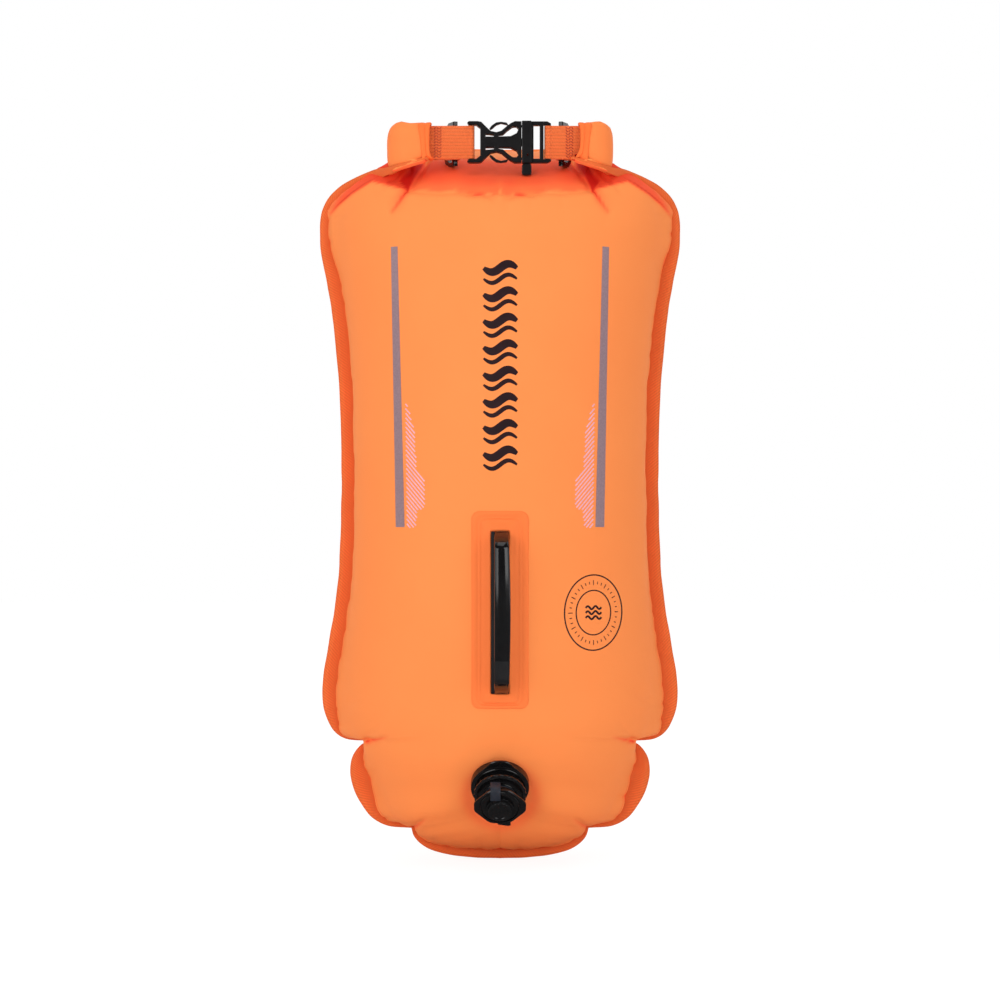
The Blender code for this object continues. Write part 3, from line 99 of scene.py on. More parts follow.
# Shoulder rows on the left: seam edge and seam line in the photograph's pixels, way forward in
# millimetres, share of centre height and depth, and share of the way to the roll
SHOULDER_ROWS = (
    ((320.0, 233.0), (330.8, 236.0), 0, 0.893, 0.905, 0.00),
    ((320.8, 220.0), (331.5, 223.0), 1, 0.913, 0.880, 0.02),
    ((323.5, 208.0), (333.0, 213.0), 3, 0.930, 0.855, 0.06),
    ((330.5, 196.0), (337.5, 204.0), 7, 0.944, 0.830, 0.13),
    ((341.5, 186.0), (346.5, 195.0), 12, 0.955, 0.805, 0.24),
    ((355.5, 178.0), (358.5, 186.5), 20, 0.963, 0.785, 0.38),
    ((369.0, 172.2), (370.5, 180.5), 29, 0.969, 0.765, 0.54),
    ((379.5, 168.6), (381.0, 176.5), 40, 0.973, 0.750, 0.72),
    ((388.0, 167.2), (389.5, 172.8), 51, 0.976, 0.740, 0.86),
    ((401.0, 163.6), (402.0, 168.2), 62, 0.978, 0.730, 0.95),
    ((424.0, 157.6), (424.5, 161.2), 64, 0.980, 0.730, 1.00),
    ((427.0, 156.8), (427.5, 160.0), 63, 0.981, 0.730, 1.10),
)
ROW_STEPS = 6
BODY_COLUMNS = 90
FLANGE_COLUMNS = 3

# Roll, bent into a ring, by its middle line
ROLL_HALF_WIDTH = 81 * MM
ROLL_FRONT = -58 * MM
ROLL_BACK = 34 * MM
ROLL_LEFT_END = -51.5 * MM
ROLL_RIGHT_END = 59 * MM
ROLL_INSET = 7.5 * MM
ROLL_NEAR_CORNER = 12 * MM
ROLL_FAR_CORNER = 30 * MM
ROLL_THICKNESS = 14 * MM
ROLL_TALL = 34 * MM
ROLL_FRONT_Z = 556 * MM
ROLL_BACK_Z = 548 * MM
ROLL_END_LIFT = 2.8 * MM

# Plan of the front panel's top in millimetres, inside the ring, from its right end to the middle of
# the back, and how far it rises there, at its side and at its start
NECK_PLAN = ((57, -56.5), (60, -50), (64, -38), (68, -20), (69, -4), (64, 11), (52, 21), (34, 24), (0, 24.5))
NECK_RISE = 30 * MM
NECK_SIDE_RISE = 17 * MM
NECK_START_RISE = 5 * MM

# Sleeve at each end of the roll: share of the way out, growth across and up in millimetres
SLEEVE_LENGTH = 11.5 * MM
SLEEVE_PROFILE = (
    (0.00, -1.2, -1.0), (0.02, 0.10, 0.02), (0.06, 0.45, 0.12), (0.12, 0.70, 0.20), (0.48, 0.80, 0.30),
    (0.55, 0.45, 0.15), (0.61, 0.90, 0.40), (0.72, 1.25, 0.65), (0.86, 1.35, 0.75), (0.96, 0.95, 0.50),
    (1.00, 0.10, 0.00), (0.98, -0.80, -0.60), (0.90, -1.30, -1.10), (0.70, -2.10, -1.80), (0.35, -2.60, -2.20),
)

BUCKLE_Z = 558 * MM
STRAP_WIDTH = 25.4 * MM
STRAP_THICKNESS = 1.4 * MM
STITCH_SIZE = (2.5 * MM, 0.75 * MM, 0.5 * MM)
TICK_SIZE = (2.6 * MM, 0.7 * MM, 0.25 * MM)

# Printed marks, with middles in the photograph's pixels
HATCH_WIDTH = 0.98 * MM
BADGE_MIDDLE = (593.3, 612.3, 82 * MM)
BADGE_SCALE = 0.963 * PIXEL
WAVES_LEFT = 483.5
WAVES_WIDTH = 33.5

# Handle, in millimetres: its middle up the bag, half length and length of its ends, the matte part
# from its middle, and its section as a share of half width and a height
HANDLE_MIDDLE = 198.5
HANDLE_HALF = 58.6
HANDLE_END = 16
HANDLE_PAD = (-51.0, -36.5)
HANDLE_SECTION = (
    (-1.00, 1.1), (-0.99, 1.8), (-0.95, 2.4), (-0.89, 2.8), (-0.81, 3.0), (-0.74, 2.98), (-0.66, 2.75),
    (-0.58, 2.5), (0.0, 2.42), (0.58, 2.5), (0.66, 2.75), (0.74, 2.98), (0.81, 3.0), (0.89, 2.8),
    (0.95, 2.4), (0.99, 1.8), (1.00, 1.1), (0.97, 0.4), (0.90, 0.08), (0.78, 0.0), (0.0, 0.0),
    (-0.78, 0.0), (-0.90, 0.08), (-0.97, 0.4),
)

# Loops of the handle's patch: half width, half height, corner and height off the front
PATCH_LOOPS = (
    (21.4, 74.5, 6.0, -0.30), (21.35, 74.4, 5.9, 0.55), (20.8, 73.9, 5.5, 0.85), (17.4, 71.7, 4.9, 0.90),
    (16.7, 71.2, 4.7, 0.45), (16.0, 70.7, 4.5, 0.90), (14.8, 69.9, 4.1, 1.00), (14.1, 69.4, 3.9, 0.50),
    (13.4, 68.9, 3.7, 1.00), (11.0, 66.4, 3.0, 1.15), (9.0, 63.8, 2.3, 1.20), (8.2, 62.9, 1.8, 1.55),
    (7.5, 62.1, 1.5, 1.60), (7.1, 61.6, 1.3, 1.20), (7.0, 61.5, 1.2, -0.30),
)
BACKING_LOOPS = ((6.7, 61.2, 0.15), (6.7, 61.2, 0.7), (6.2, 60.7, 1.0), (4.0, 58.0, 1.05), (1.0, 55.0, 1.05))

# Valve: its seat on the front, its axis outwards and its way up the bag
VALVE_Z = 65.5 * MM
VALVE_SEAT = Vector((0.0, -73.29 * MM, VALVE_Z))
VALVE_TILT = math.radians(35)
VALVE_AXIS = Vector((0.0, -math.cos(VALVE_TILT), -math.sin(VALVE_TILT)))
VALVE_UP = Vector((0.0, -math.sin(VALVE_TILT), math.cos(VALVE_TILT)))
VALVE_TURN = Matrix((VALVE_UP.cross(VALVE_AXIS), VALVE_UP, VALVE_AXIS)).transposed().to_4x4()
VALVE_PLACE = Matrix.Translation(VALVE_SEAT) @ VALVE_TURN
VALVE_HOLE = 13.6 * MM

# Turned sections of the valve, as radii and heights in millimetres, and flat outlines across its axis
BASE_SECTION = (
    (10.6, 6.2), (10.9, 6.45), (14.6, 6.45), (15.0, 6.1), (15.0, 3.1), (15.6, 2.75), (18.2, 2.7), (18.6, 3.1),
    (19.4, 3.1), (19.8, 2.7), (21.5, 2.55), (22.05, 2.2), (22.2, 1.6), (22.2, -4.0), (12.8, -4.0),
    (12.8, -11.0), (10.6, -11.0),
)
TAB_OUTLINE = (
    (-14.0, 14.0), (14.0, 14.0), (13.6, 17.6), (10.6, 20.6), (8.6, 23.2), (6.6, 25.4), (4.2, 26.4), (0.0, 26.7),
    (-4.2, 26.4), (-6.6, 25.4), (-8.6, 23.2), (-10.6, 20.6), (-13.6, 17.6),
)
BODY_SECTION = (
    (8.2, 19.0), (8.5, 19.25), (11.9, 19.25), (12.2, 18.9), (12.2, 16.0), (11.3, 15.9), (11.3, 13.5),
    (13.5, 13.5), (13.8, 13.2), (13.8, 11.4), (14.4, 10.95), (16.8, 10.9), (17.2, 11.4), (18.0, 11.4),
    (18.6, 10.9), (19.3, 10.7), (19.6, 10.3), (19.6, 9.0), (19.3, 8.65), (10.3, 8.6), (10.3, -5.4), (8.2, -5.4),
)
CAP_SECTION = (
    (0.4, 29.4), (6.0, 29.4), (6.6, 29.95), (8.0, 30.0), (8.6, 29.6), (8.8, 29.0), (8.8, 25.2), (9.4, 24.5),
    (13.6, 24.4), (14.1, 25.2), (15.0, 25.2), (15.4, 24.4), (15.4, 23.6), (14.2, 21.4), (14.2, 16.4),
    (12.6, 16.3), (12.6, 19.5), (7.9, 19.5), (7.9, 13.2), (0.4, 13.2),
)
LUG_OUTLINE = ((-2.4, -17.0), (-1.6, -19.8), (6.4, -21.2), (8.2, -20.6), (7.6, -12.0), (-2.6, -11.0))
TETHER_RING = ((11.6, 13.9), (13.1, 13.9), (13.25, 14.2), (13.25, 14.9), (13.1, 15.2), (11.6, 15.2))
TETHER_COLLAR = ((8.95, 26.1), (10.3, 26.1), (10.5, 26.4), (10.5, 27.0), (10.3, 27.3), (8.95, 27.3))
TETHER_LINE = (
    (12.6, 14.5), (15.4, 14.5), (17.2, 15.5), (18.0, 18.4), (18.2, 22.4), (17.5, 25.2), (15.4, 26.3),
    (12.0, 26.8), (9.4, 26.8),
)
TETHER_MIDDLE = -3.4
TETHER_SECTION = (
    (-3.8, -0.4), (-3.5, -0.65), (3.5, -0.65), (3.8, -0.4), (3.8, 0.4), (3.5, 0.65), (-3.5, 0.65), (-3.8, 0.4),
)

# Folds pressed in the front, in the photograph's pixels on its left half: line, width, depth in
# millimetres at both ends
FOLDS = (
    (((427, 160), (417, 176), (407, 190), (399, 203), (392, 214)), 4.5, 5.0, 0.8),
    (((399, 174), (389, 184), (380, 192)), 3.0, 2.4, 0.6),
    (((411, 170), (404, 181), (397, 190)), 2.6, 2.2, 0.6),
    (((407, 190), (430, 192), (455, 192), (470, 194), (486, 193), (500, 191)), 3.2, 2.6, 1.6),
    (((455, 190), (472, 193), (491, 197)), 3.0, 1.6, 2.2),
    (((496, 192), (493, 205), (492, 222)), 4.0, 1.2, 0.0),
    (((470, 193), (468, 203), (469, 214)), 4.0, 1.0, 0.0),
    (((440, 192), (437, 204), (438, 216)), 5.0, 0.9, 0.0),
    (((368, 741), (378, 739), (392, 735)), 3.0, 3.0, 0.0),
    (((366, 738), (376, 728), (384, 716)), 3.5, 1.6, 0.0),
    (((412, 828), (420, 822), (430, 814)), 3.0, 2.4, 0.0),
    (((353, 700), (366, 697), (380, 690)), 5.0, 1.2, 0.0),
    (((360, 776), (372, 776), (386, 772)), 5.0, 1.4, 0.0),
    (((480, 851), (481, 843), (484, 834)), 3.6, 1.2, 0.0),
)
RIDGES = (
    (((329, 214), (345, 199), (374, 183), (407, 192)), 6.0, 2.6, 1.6),
    (((332, 213), (335, 260), (343, 330), (352, 400)), 3.0, 0.9, 0.3),
)

# Upper edge of the front's light part, above which shade is painted, the painted shade colours of folds and of the dark
# pits, and lines of painted shade with their width and depth of shade at both ends
FACET_EDGE = (
    (320, 236), (329, 215), (345, 200.5), (373, 182.5), (389, 186.5), (407, 191.5), (455, 192.5), (470, 194),
    (492, 196), (500, 191),
)
FOLD_SHADE = (0.98, 0.105, 0.036)
PIT_SHADE = (0.60, 0.012, 0.008)
FOLD_SHADES = (
    (((408, 190), (400, 202), (393, 212)), 2.3, 1.0, 0.35),
    (((405, 191), (396, 203), (390, 213)), 5.0, 0.35, 0.0),
    (((388, 184), (393, 176), (404, 168)), 1.1, 0.9, 0.3),
    (((331, 214), (340, 204), (352, 194), (366, 184), (378, 178)), 1.7, 0.85, 0.8),
    (((456, 193), (470, 195.5), (486, 196.5)), 1.3, 0.2, 0.85),
    (((504, 195), (509, 197), (515, 194)), 1.2, 0.5, 0.0),
    (((368, 741), (378, 739), (390, 736)), 1.6, 0.8, 0.0),
    (((412, 828), (420, 823), (428, 817)), 1.4, 0.8, 0.0),
)


def spot(px, py, forward=0.0):
    """The point that a pixel of the photograph shows, at a distance in front of the seam plane."""
    share = (CAMERA_DISTANCE - forward) / CAMERA_DISTANCE
    x = (px - FRAME_MIDDLE) * PIXEL * share
    z = CAMERA_Z + ((FRAME_FOOT - py) * PIXEL - CAMERA_Z) * share
    return Vector((x, SEAM_Y - forward, z))


def pixels(points):
    """Where points lie in the photograph's frame."""
    share = (points[..., 1] - SEAM_Y + CAMERA_DISTANCE) / CAMERA_DISTANCE
    px = FRAME_MIDDLE + points[..., 0] / share / PIXEL
    py = FRAME_FOOT - (CAMERA_Z + (points[..., 2] - CAMERA_Z) / share) / PIXEL
    return px, py


def smoothstep(low, high, value):
    share = np.clip((value - low) / (high - low), 0.0, 1.0)
    return share * share * (3 - 2 * share)


def bell(distance, width):
    """A smooth bump of height 1 round a place."""
    return np.exp(-((distance / width) ** 2))


def unit(vectors):
    return vectors / np.maximum(np.linalg.norm(vectors, axis=-1, keepdims=True), 1e-12)


def lengths_along(path):
    """Length of a line of points up to each of them."""
    return np.concatenate([[0.0], np.cumsum(np.linalg.norm(np.diff(path, axis=0), axis=1))])


def speckle(x, y, z=0.0):
    return noise.noise(Vector((x, y, z)))


# Node helpers


def feed(tree, socket, value):
    """Links an input to a socket, or sets it to a value."""
    if isinstance(value, bpy.types.NodeSocket):
        tree.links.new(value, socket)
    else:
        socket.default_value = value


def add(tree, kind, inputs=(), **settings):
    """A node with its settings, whose inputs are given as values or as sockets to link."""
    node = tree.nodes.new(kind)
    for name, value in settings.items():
        setattr(node, name, value)
    for key, value in dict(inputs).items():
        feed(tree, node.inputs[key], value)
    return node


def maths(tree, operation, *values):
    return add(tree, "ShaderNodeMath", dict(enumerate(values)), operation=operation).outputs[0]


def ramp(tree, value, low, high, start=0.0, end=1.0):
    """A value taken from one range to another."""
    return add(tree, "ShaderNodeMapRange", {0: value, 1: low, 2: high, 3: start, 4: end}).outputs[0]


def mix_values(tree, share, low, high):
    return add(tree, "ShaderNodeMix", {0: share, 2: low, 3: high}).outputs[0]


def mix_colors(tree, share, low, high):
    return add(tree, "ShaderNodeMix", {0: share, 6: low, 7: high}, data_type="RGBA").outputs[2]


def bump(tree, height, depth, strength):
    return add(tree, "ShaderNodeBump", {"Height": height, "Distance": depth, "Strength": strength}).outputs[0]


def object_place(tree):
    return add(tree, "ShaderNodeTexCoord").outputs["Object"]


def cloth_place(tree):
    return add(tree, "ShaderNodeUVMap", uv_map="cloth").outputs[0]


def shader_group(name, inputs, outputs):
    """An empty shader group. Inputs come with their values, the place with none, and outputs with their kinds."""
    tree = bpy.data.node_groups.new(name, "ShaderNodeTree")
    for socket, value in inputs.items():
        kind = "Vector" if value is None else "Color" if isinstance(value, tuple) else "Float"
        made = tree.interface.new_socket(socket, in_out="INPUT", socket_type="NodeSocket" + kind)
        if value is not None:
            made.default_value = value
    for socket, kind in outputs.items():
        tree.interface.new_socket(socket, in_out="OUTPUT", socket_type="NodeSocket" + kind)
    return tree, tree.nodes.new("NodeGroupInput").outputs, tree.nodes.new("NodeGroupOutput").inputs


def shade_change(name):
    """Soft change of shade over a surface."""
    inputs = {"Vector": None, "Color": (1, 1, 1, 1), "Deep Color": (0.5, 0.5, 0.5, 1), "Scale": 20.0, "Amount": 0.2}
    tree, given, out = shader_group(name, inputs, {"Color": "Color"})
    cloud_inputs = {"Vector": given["Vector"], "Scale": given["Scale"], "Detail": 3.0, "Roughness": 0.55}
    cloud = add(tree, "ShaderNodeTexNoise", cloud_inputs)
    share = maths(tree, "MULTIPLY", ramp(tree, cloud.outputs["Fac"], 0.35, 0.75), given["Amount"])
    tree.links.new(mix_colors(tree, share, given["Color"], given["Deep Color"]), out["Color"])
    return tree


def surface_grain(name):
    """Fine grain and broader unevenness of a surface, as a height and a roughness."""
    inputs = {
        "Vector": None, "Fine Scale": 2500.0, "Broad Scale": 60.0, "Broad Share": 0.5, "Roughness": 0.4, "Spread": 0.08
    }
    tree, given, out = shader_group(name, inputs, {"Height": "Float", "Roughness": "Float"})
    fine, broad = (
        add(tree, "ShaderNodeTexNoise", {"Vector": given["Vector"], "Scale": given[scale], "Detail": detail})
        for scale, detail in (("Fine Scale", 2.0), ("Broad Scale", 4.0))
    )
    height = mix_values(tree, given["Broad Share"], fine.outputs["Fac"], broad.outputs["Fac"])
    tree.links.new(height, out["Height"])
    centred = maths(tree, "SUBTRACT", broad.outputs["Fac"], 0.5)
    tree.links.new(maths(tree, "MULTIPLY_ADD", centred, given["Spread"], given["Roughness"]), out["Roughness"])
    return tree


def ribbed_weave(name):
    """Ribs along the cloth's length crossed by picks, from a UV map in metres."""
    inputs = {"Vector": None, "Rib Pitch": 0.0024, "Pick Pitch": 0.0013, "Slant": 0.0}
    tree, given, out = shader_group(name, inputs, {"Height": "Float", "Gaps": "Float"})
    split = add(tree, "ShaderNodeSeparateXYZ", {0: given["Vector"]})
    along, across = split.outputs[0], split.outputs[1]
    slanted = maths(tree, "MULTIPLY_ADD", across, given["Slant"], along)
    rib_turn, pick_turn = (
        maths(tree, "DIVIDE", maths(tree, "MULTIPLY", place, math.pi), given[pitch])
        for place, pitch in ((across, "Rib Pitch"), (slanted, "Pick Pitch"))
    )
    row = maths(tree, "FLOOR", maths(tree, "DIVIDE", across, given["Rib Pitch"]))
    shifted_turn = maths(tree, "ADD", pick_turn, maths(tree, "MULTIPLY", row, math.pi / 2))
    rib, pick = (maths(tree, "ABSOLUTE", maths(tree, "SINE", turn)) for turn in (rib_turn, shifted_turn))
    height = maths(tree, "MULTIPLY", maths(tree, "POWER", rib, 0.6), maths(tree, "POWER", pick, 0.5))
    tree.links.new(height, out["Height"])
    tree.links.new(ramp(tree, height, 0.05, 0.55, 1.0, 0.0), out["Gaps"])
    return tree


def effect(tree, maker, place, **values):
    """Outputs of an effect at a place. Its group is made the first time that a material needs it."""
    group = bpy.data.node_groups.get(maker.__name__) or maker(maker.__name__)
    inputs = {name.replace("_", " ").title(): value for name, value in values.items()}
    return add(tree, "ShaderNodeGroup", {"Vector": place, **inputs}, node_tree=group).outputs


# Finishes


def finish_maker(fill):
    """Makes a finish the first time from what a function gives for its shader, and finds it later."""

    def made(name, *values, **named):
        material = bpy.data.materials.get(name)
        if material is None:
            material = bpy.data.materials.new(name)
            material.use_nodes = True
            tree = material.node_tree
            for socket, value in fill(tree, *values, **named).items():
                feed(tree, tree.nodes["Principled BSDF"].inputs[socket], value)
        return material

    return made


def rgba(color, share=1.0):
    return tuple(c * share for c in color) + (1.0,)


def seam_shade(tree):
    """Thin shaded lines beside the weld, from the UV map's distance to the seam line."""
    away = add(tree, "ShaderNodeSeparateXYZ", {0: cloth_place(tree)}).outputs[1]
    line = ramp(tree, away, 1.2 * MM, 3.4 * MM, 0.55, 0.0)
    offset = maths(tree, "ABSOLUTE", maths(tree, "SUBTRACT", away, 7.4 * MM))
    return maths(tree, "MAXIMUM", line, ramp(tree, offset, 0.3 * MM, 1.1 * MM, 0.24, 0.0))


@finish_maker
def fabric_finish(tree, color, deep, roughness=0.6, amount=0.25, seam_shaded=False):
    """Welded fabric with a soft satin coating, with shade painted where its attribute says: shaded orange in folds and
    on the neck, painted dark red in the pits.
    """
    place = object_place(tree)
    shade = effect(tree, shade_change, place, color=rgba(color), deep_color=rgba(deep), scale=14.0, amount=amount)
    # Painted shade: how much shade the attribute paints on this point
    painted_shade = add(tree, "ShaderNodeAttribute", attribute_name="fold_depth").outputs["Fac"]
    # Painted shade lines beside the weld
    if seam_shaded:
        painted_shade = maths(tree, "MAXIMUM", painted_shade, seam_shade(tree))
    # Painted shade: toward a shaded orange, then toward a painted dark red in the pits
    deeper = mix_colors(tree, ramp(tree, painted_shade, 0.0, 0.6), shade[0], rgba(FOLD_SHADE))
    grain = effect(
        tree, surface_grain, place, fine_scale=2600.0, broad_scale=45.0, broad_share=0.76, roughness=roughness,
        spread=0.12,
    )
    return {
        "Base Color": mix_colors(tree, ramp(tree, painted_shade, 0.6, 1.0), deeper, rgba(PIT_SHADE)),
        "Roughness": grain["Roughness"],
        "Normal": bump(tree, grain["Height"], 0.25 * MM, 0.5),
        "Specular IOR Level": 0.05,
    }


@finish_maker
def weld_finish(tree, color, deep):
    """Heat welded flange, pressed with fine slanted lines."""
    place = cloth_place(tree)
    weave = effect(tree, ribbed_weave, place, rib_pitch=30 * MM, pick_pitch=2.4 * MM, slant=0.8)
    shade = effect(tree, shade_change, place, color=rgba(color), deep_color=rgba(deep), scale=40.0, amount=0.35)
    pressed = ramp(tree, weave["Height"], 0.45, 0.98, 0.75, 0.0)
    return {
        "Base Color": mix_colors(tree, pressed, shade[0], rgba(deep)),
        "Roughness": 0.55,
        "Normal": bump(tree, weave["Height"], 0.25 * MM, 0.6),
        "Specular IOR Level": 0.1,
    }


@finish_maker
def webbing_finish(tree, color, deep):
    """Ribbed polyester webbing."""
    weave = effect(tree, ribbed_weave, cloth_place(tree), rib_pitch=2.6 * MM, pick_pitch=1.3 * MM, slant=0.6)
    gaps = maths(tree, "MULTIPLY", weave["Gaps"], 0.6)
    return {
        "Base Color": mix_colors(tree, gaps, rgba(color), rgba(deep)),
        "Roughness": 0.72,
        "Normal": bump(tree, weave["Height"], 0.5 * MM, 0.9),
        "Sheen Weight": 0.25,
        "Sheen Roughness": 0.4,
    }


@finish_maker
def plastic_finish(tree, color, roughness, spread=0.12, coat=0.0, fine=1800.0, depth=0.06 * MM, shine=0.3):
    """Moulded plastic or rubber with a faint grain and uneven gloss."""
    place = object_place(tree)
    shade = effect(tree, shade_change, place, color=rgba(color), deep_color=rgba(color, 1.8), scale=120.0, amount=0.5)
    grain = effect(
        tree, surface_grain, place, fine_scale=fine, broad_scale=160.0, broad_share=0.35, roughness=roughness,
        spread=spread,
    )
    return {
        "Base Color": shade[0],
        "Roughness": grain["Roughness"],
        "Normal": bump(tree, grain["Height"], depth, 0.5),
        "Coat Weight": coat,
        "Coat Roughness": 0.08,
        "Specular IOR Level": shine,
    }


@finish_maker
def film_finish(tree, color, metallic, roughness):
    """Reflective film with a fine bead pattern."""
    place = object_place(tree)
    beads = add(tree, "ShaderNodeTexVoronoi", {"Vector": place, "Scale": 1100.0})
    shade = effect(tree, shade_change, place, color=rgba(color), deep_color=rgba(color, 0.7), scale=700.0, amount=0.7)
    return {
        "Base Color": shade[0],
        "Metallic": metallic,
        "Roughness": roughness,
        "Normal": bump(tree, beads.outputs["Distance"], 0.1 * MM, 0.4),
    }


def palette():
    """The finishes of this buoy, made from the colours in the panel."""
    colours = bpy.context.scene.buoy_colours

    def tint(name, share=1.0):
        return tuple(c * share for c in getattr(colours, name))

    weld = tint("weld")
    return {
        # Panel fabric, with painted shade lines beside its weld
        "fabric": fabric_finish("panel_fabric", tint("fabric"), weld, amount=0.10, seam_shaded=True),
        "roll": fabric_finish("rolled_fabric", tint("roll"), weld, 0.55, 0.25),
        "weld": weld_finish("welded_flange", weld, tint("weld", 0.72)),
        "hem": fabric_finish("hemmed_fabric", tint("hem"), weld, 0.55, 0.5),
        "patch": fabric_finish("patch_fabric", tint("patch"), weld, 0.42, 0.2),
        "webbing": webbing_finish("ribbed_webbing", tint("webbing"), tint("webbing", 0.5)),
        "thread": webbing_finish("stitching_thread", (0.60, 0.050, 0.010), (0.40, 0.030, 0.006)),
        "plastic": plastic_finish("moulded_black", tint("plastic"), 0.36),
        "gloss": plastic_finish("gloss_black", tint("plastic", 0.7), 0.10, 0.04, 0.1, 900.0, 0.02 * MM, 0.5),
        "valve": plastic_finish("valve_black", tint("plastic", 0.8), 0.2, 0.1, 0.1, 1500.0, 0.03 * MM, 0.45),
        "rubber": plastic_finish("soft_black_rubber", tint("plastic", 1.6), 0.6, 0.1),
        "tether": plastic_finish("tether_rubber", tint("tether"), 0.45, 0.1),
        "film": film_finish("strip_film", tint("strip"), 0.35, 0.38),
        "hatch": film_finish("hatch_film", tint("hatch"), 0.05, 0.5),
        "ink": plastic_finish("print_ink", tint("ink"), 0.45, 0.1),
        "clear": plastic_finish("frosted_stiffener", (0.7, 0.72, 0.74), 0.3, 0.1),
    }


# Mesh helpers


def placed(name, data):
    """A new object in the scene."""
    obj = bpy.data.objects.new(name, data)
    bpy.context.scene.collection.objects.link(obj)
    return obj


def settle(obj, body, slot, *replaced):
    """Gives a finished piece its body and hides the nodes of the frame that it stands for. Its slot is not used."""
    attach(obj, body)
    if replaced:
        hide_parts(*replaced)


def make(name, verts, faces, materials, picks=None, uvs=None, sharp=40, outward=True):
    """An object of points and faces in place, with smooth faces and sharp creases."""
    mesh = bpy.data.meshes.new(name)
    mesh.from_pydata([tuple(map(float, v)) for v in verts], [], faces)
    for material in materials:
        mesh.materials.append(material)
    if picks is not None:
        mesh.polygons.foreach_set("material_index", picks)
    if uvs is not None:
        layer = mesh.uv_layers.new(name="cloth")
        corners = np.zeros(len(mesh.loops), dtype=np.int32)
        mesh.loops.foreach_get("vertex_index", corners)
        layer.data.foreach_set("uv", np.asarray(uvs, dtype=np.float32)[corners].ravel())
    shape = bmesh.new()
    shape.from_mesh(mesh)
    bmesh.ops.remove_doubles(shape, verts=shape.verts, dist=1e-6)
    if outward:
        bmesh.ops.recalc_face_normals(shape, faces=shape.faces)
    shape.to_mesh(mesh)
    shape.free()
    mesh.polygons.foreach_set("use_smooth", [True] * len(mesh.polygons))
    mesh.set_sharp_from_angle(angle=math.radians(sharp))
    mesh.update()
    return placed(name, mesh)


def loft(rings, closed=False):
    """Points and faces over rings of points, each ring closed round."""
    rings = np.asarray(rings)
    count, around = rings.shape[:2]
    faces = []
    for ring in range(count if closed else count - 1):
        low, high = ring * around, (ring + 1) % count * around
        for point in range(around):
            after = (point + 1) % around
            faces.append((low + point, low + after, high + after, high + point))
    if not closed:
        faces.append(tuple(range(around))[::-1])
        faces.append(tuple((count - 1) * around + point for point in range(around)))
    return rings.reshape(-1, 3), faces


def lofted(name, rings, finish, sharp, closed=False):
    return make(name, *loft(rings, closed), [finish], sharp=sharp)


def rounded_loop(half_across, half_up, corner, arc=6, across_steps=8, up_steps=40):
    """A rounded rectangle as even points, from the right side up, with its long sides divided."""
    points = []
    x, y = half_across - corner, half_up - corner
    sides = (
        ((half_across, -y), (half_across, y), up_steps, (x, y), 0),
        ((x, half_up), (-x, half_up), across_steps, (-x, y), 90),
        ((-half_across, y), (-half_across, -y), up_steps, (-x, -y), 180),
        ((-x, -half_up), (x, -half_up), across_steps, (x, -y), 270),
    )
    for start, end, steps, centre, angle in sides:
        points += [[a + (b - a) * (step / steps) for a, b in zip(start, end)] for step in range(steps)]
        for step in range(arc):
            turn = math.radians(angle + 90 * step / arc)
            points.append([centre[0] + corner * math.cos(turn), centre[1] + corner * math.sin(turn)])
    return np.array(points)


def plan_normals(path, closed=False):
    """Unit normals of a plan line, to its left."""
    ahead = np.roll(path, -1, axis=0) - np.roll(path, 1, axis=0) if closed else np.gradient(path, axis=0)
    return unit(np.stack([-ahead[:, 1], ahead[:, 0]], axis=1))


def stepped(path, step):
    """A line of points cut into even steps."""
    path = np.asarray(path, dtype=float)
    lengths = lengths_along(path)
    spots = np.linspace(0, lengths[-1], max(2, round(lengths[-1] / step) + 1))
    return np.stack([np.interp(spots, lengths, path[:, i]) for i in range(path.shape[1])], axis=1)


def bake(obj):
    """Applies an object's modifiers to its mesh."""
    bpy.context.view_layer.update()
    mesh = bpy.data.meshes.new_from_object(obj.evaluated_get(bpy.context.evaluated_depsgraph_get()))
    obj.modifiers.clear()
    obj.data = mesh
    return obj


# Bag


def catmull(table, steps, corners=()):
    """Rows between the rows of a table on a smooth curve, with kinks at some of them."""
    table = np.asarray(table, dtype=float)
    rows, last = [], len(table) - 1
    for index in range(last):
        here, after = table[index], table[index + 1]
        before = table[index - 1] if index > 0 else 2 * here - after
        beyond = table[index + 2] if index + 2 <= last else 2 * after - here
        if index in corners:
            before = here - (after - here) * 0.6
        if index + 1 in corners:
            beyond = after + (after - here) * 0.6
        square = 2 * before - 5 * here + 4 * after - beyond
        cube = 3 * here - before - 3 * after + beyond
        for t in np.arange(steps) / steps:
            rows.append(0.5 * (2 * here + (after - before) * t + square * t**2 + cube * t**3))
    return np.array(rows + [table[last]])


def ring_plan(side, offset, start):
    """Plan of the roll's middle line from its front end to the middle of its back, moved inward."""
    half, front, back = ROLL_HALF_WIDTH - offset, ROLL_FRONT + offset, ROLL_BACK - offset
    near, far = ROLL_NEAR_CORNER - offset, ROLL_FAR_CORNER - offset
    turns = [math.radians(90) * step / 8 for step in range(9)]
    line = [(start, front)]
    line += [(half - near + near * math.sin(a), front + near - near * math.cos(a)) for a in turns]
    line += [(half - far + far * math.cos(a), back - far + far * math.sin(a)) for a in turns]
    return np.array(line + [(0.0, back)]) * (side, 1)


def roll_z(y):
    """Height of the roll's middle over a place, from its front to its back."""
    return ROLL_FRONT_Z + (ROLL_BACK_Z - ROLL_FRONT_Z) * (y - ROLL_FRONT) / (ROLL_BACK - ROLL_FRONT)


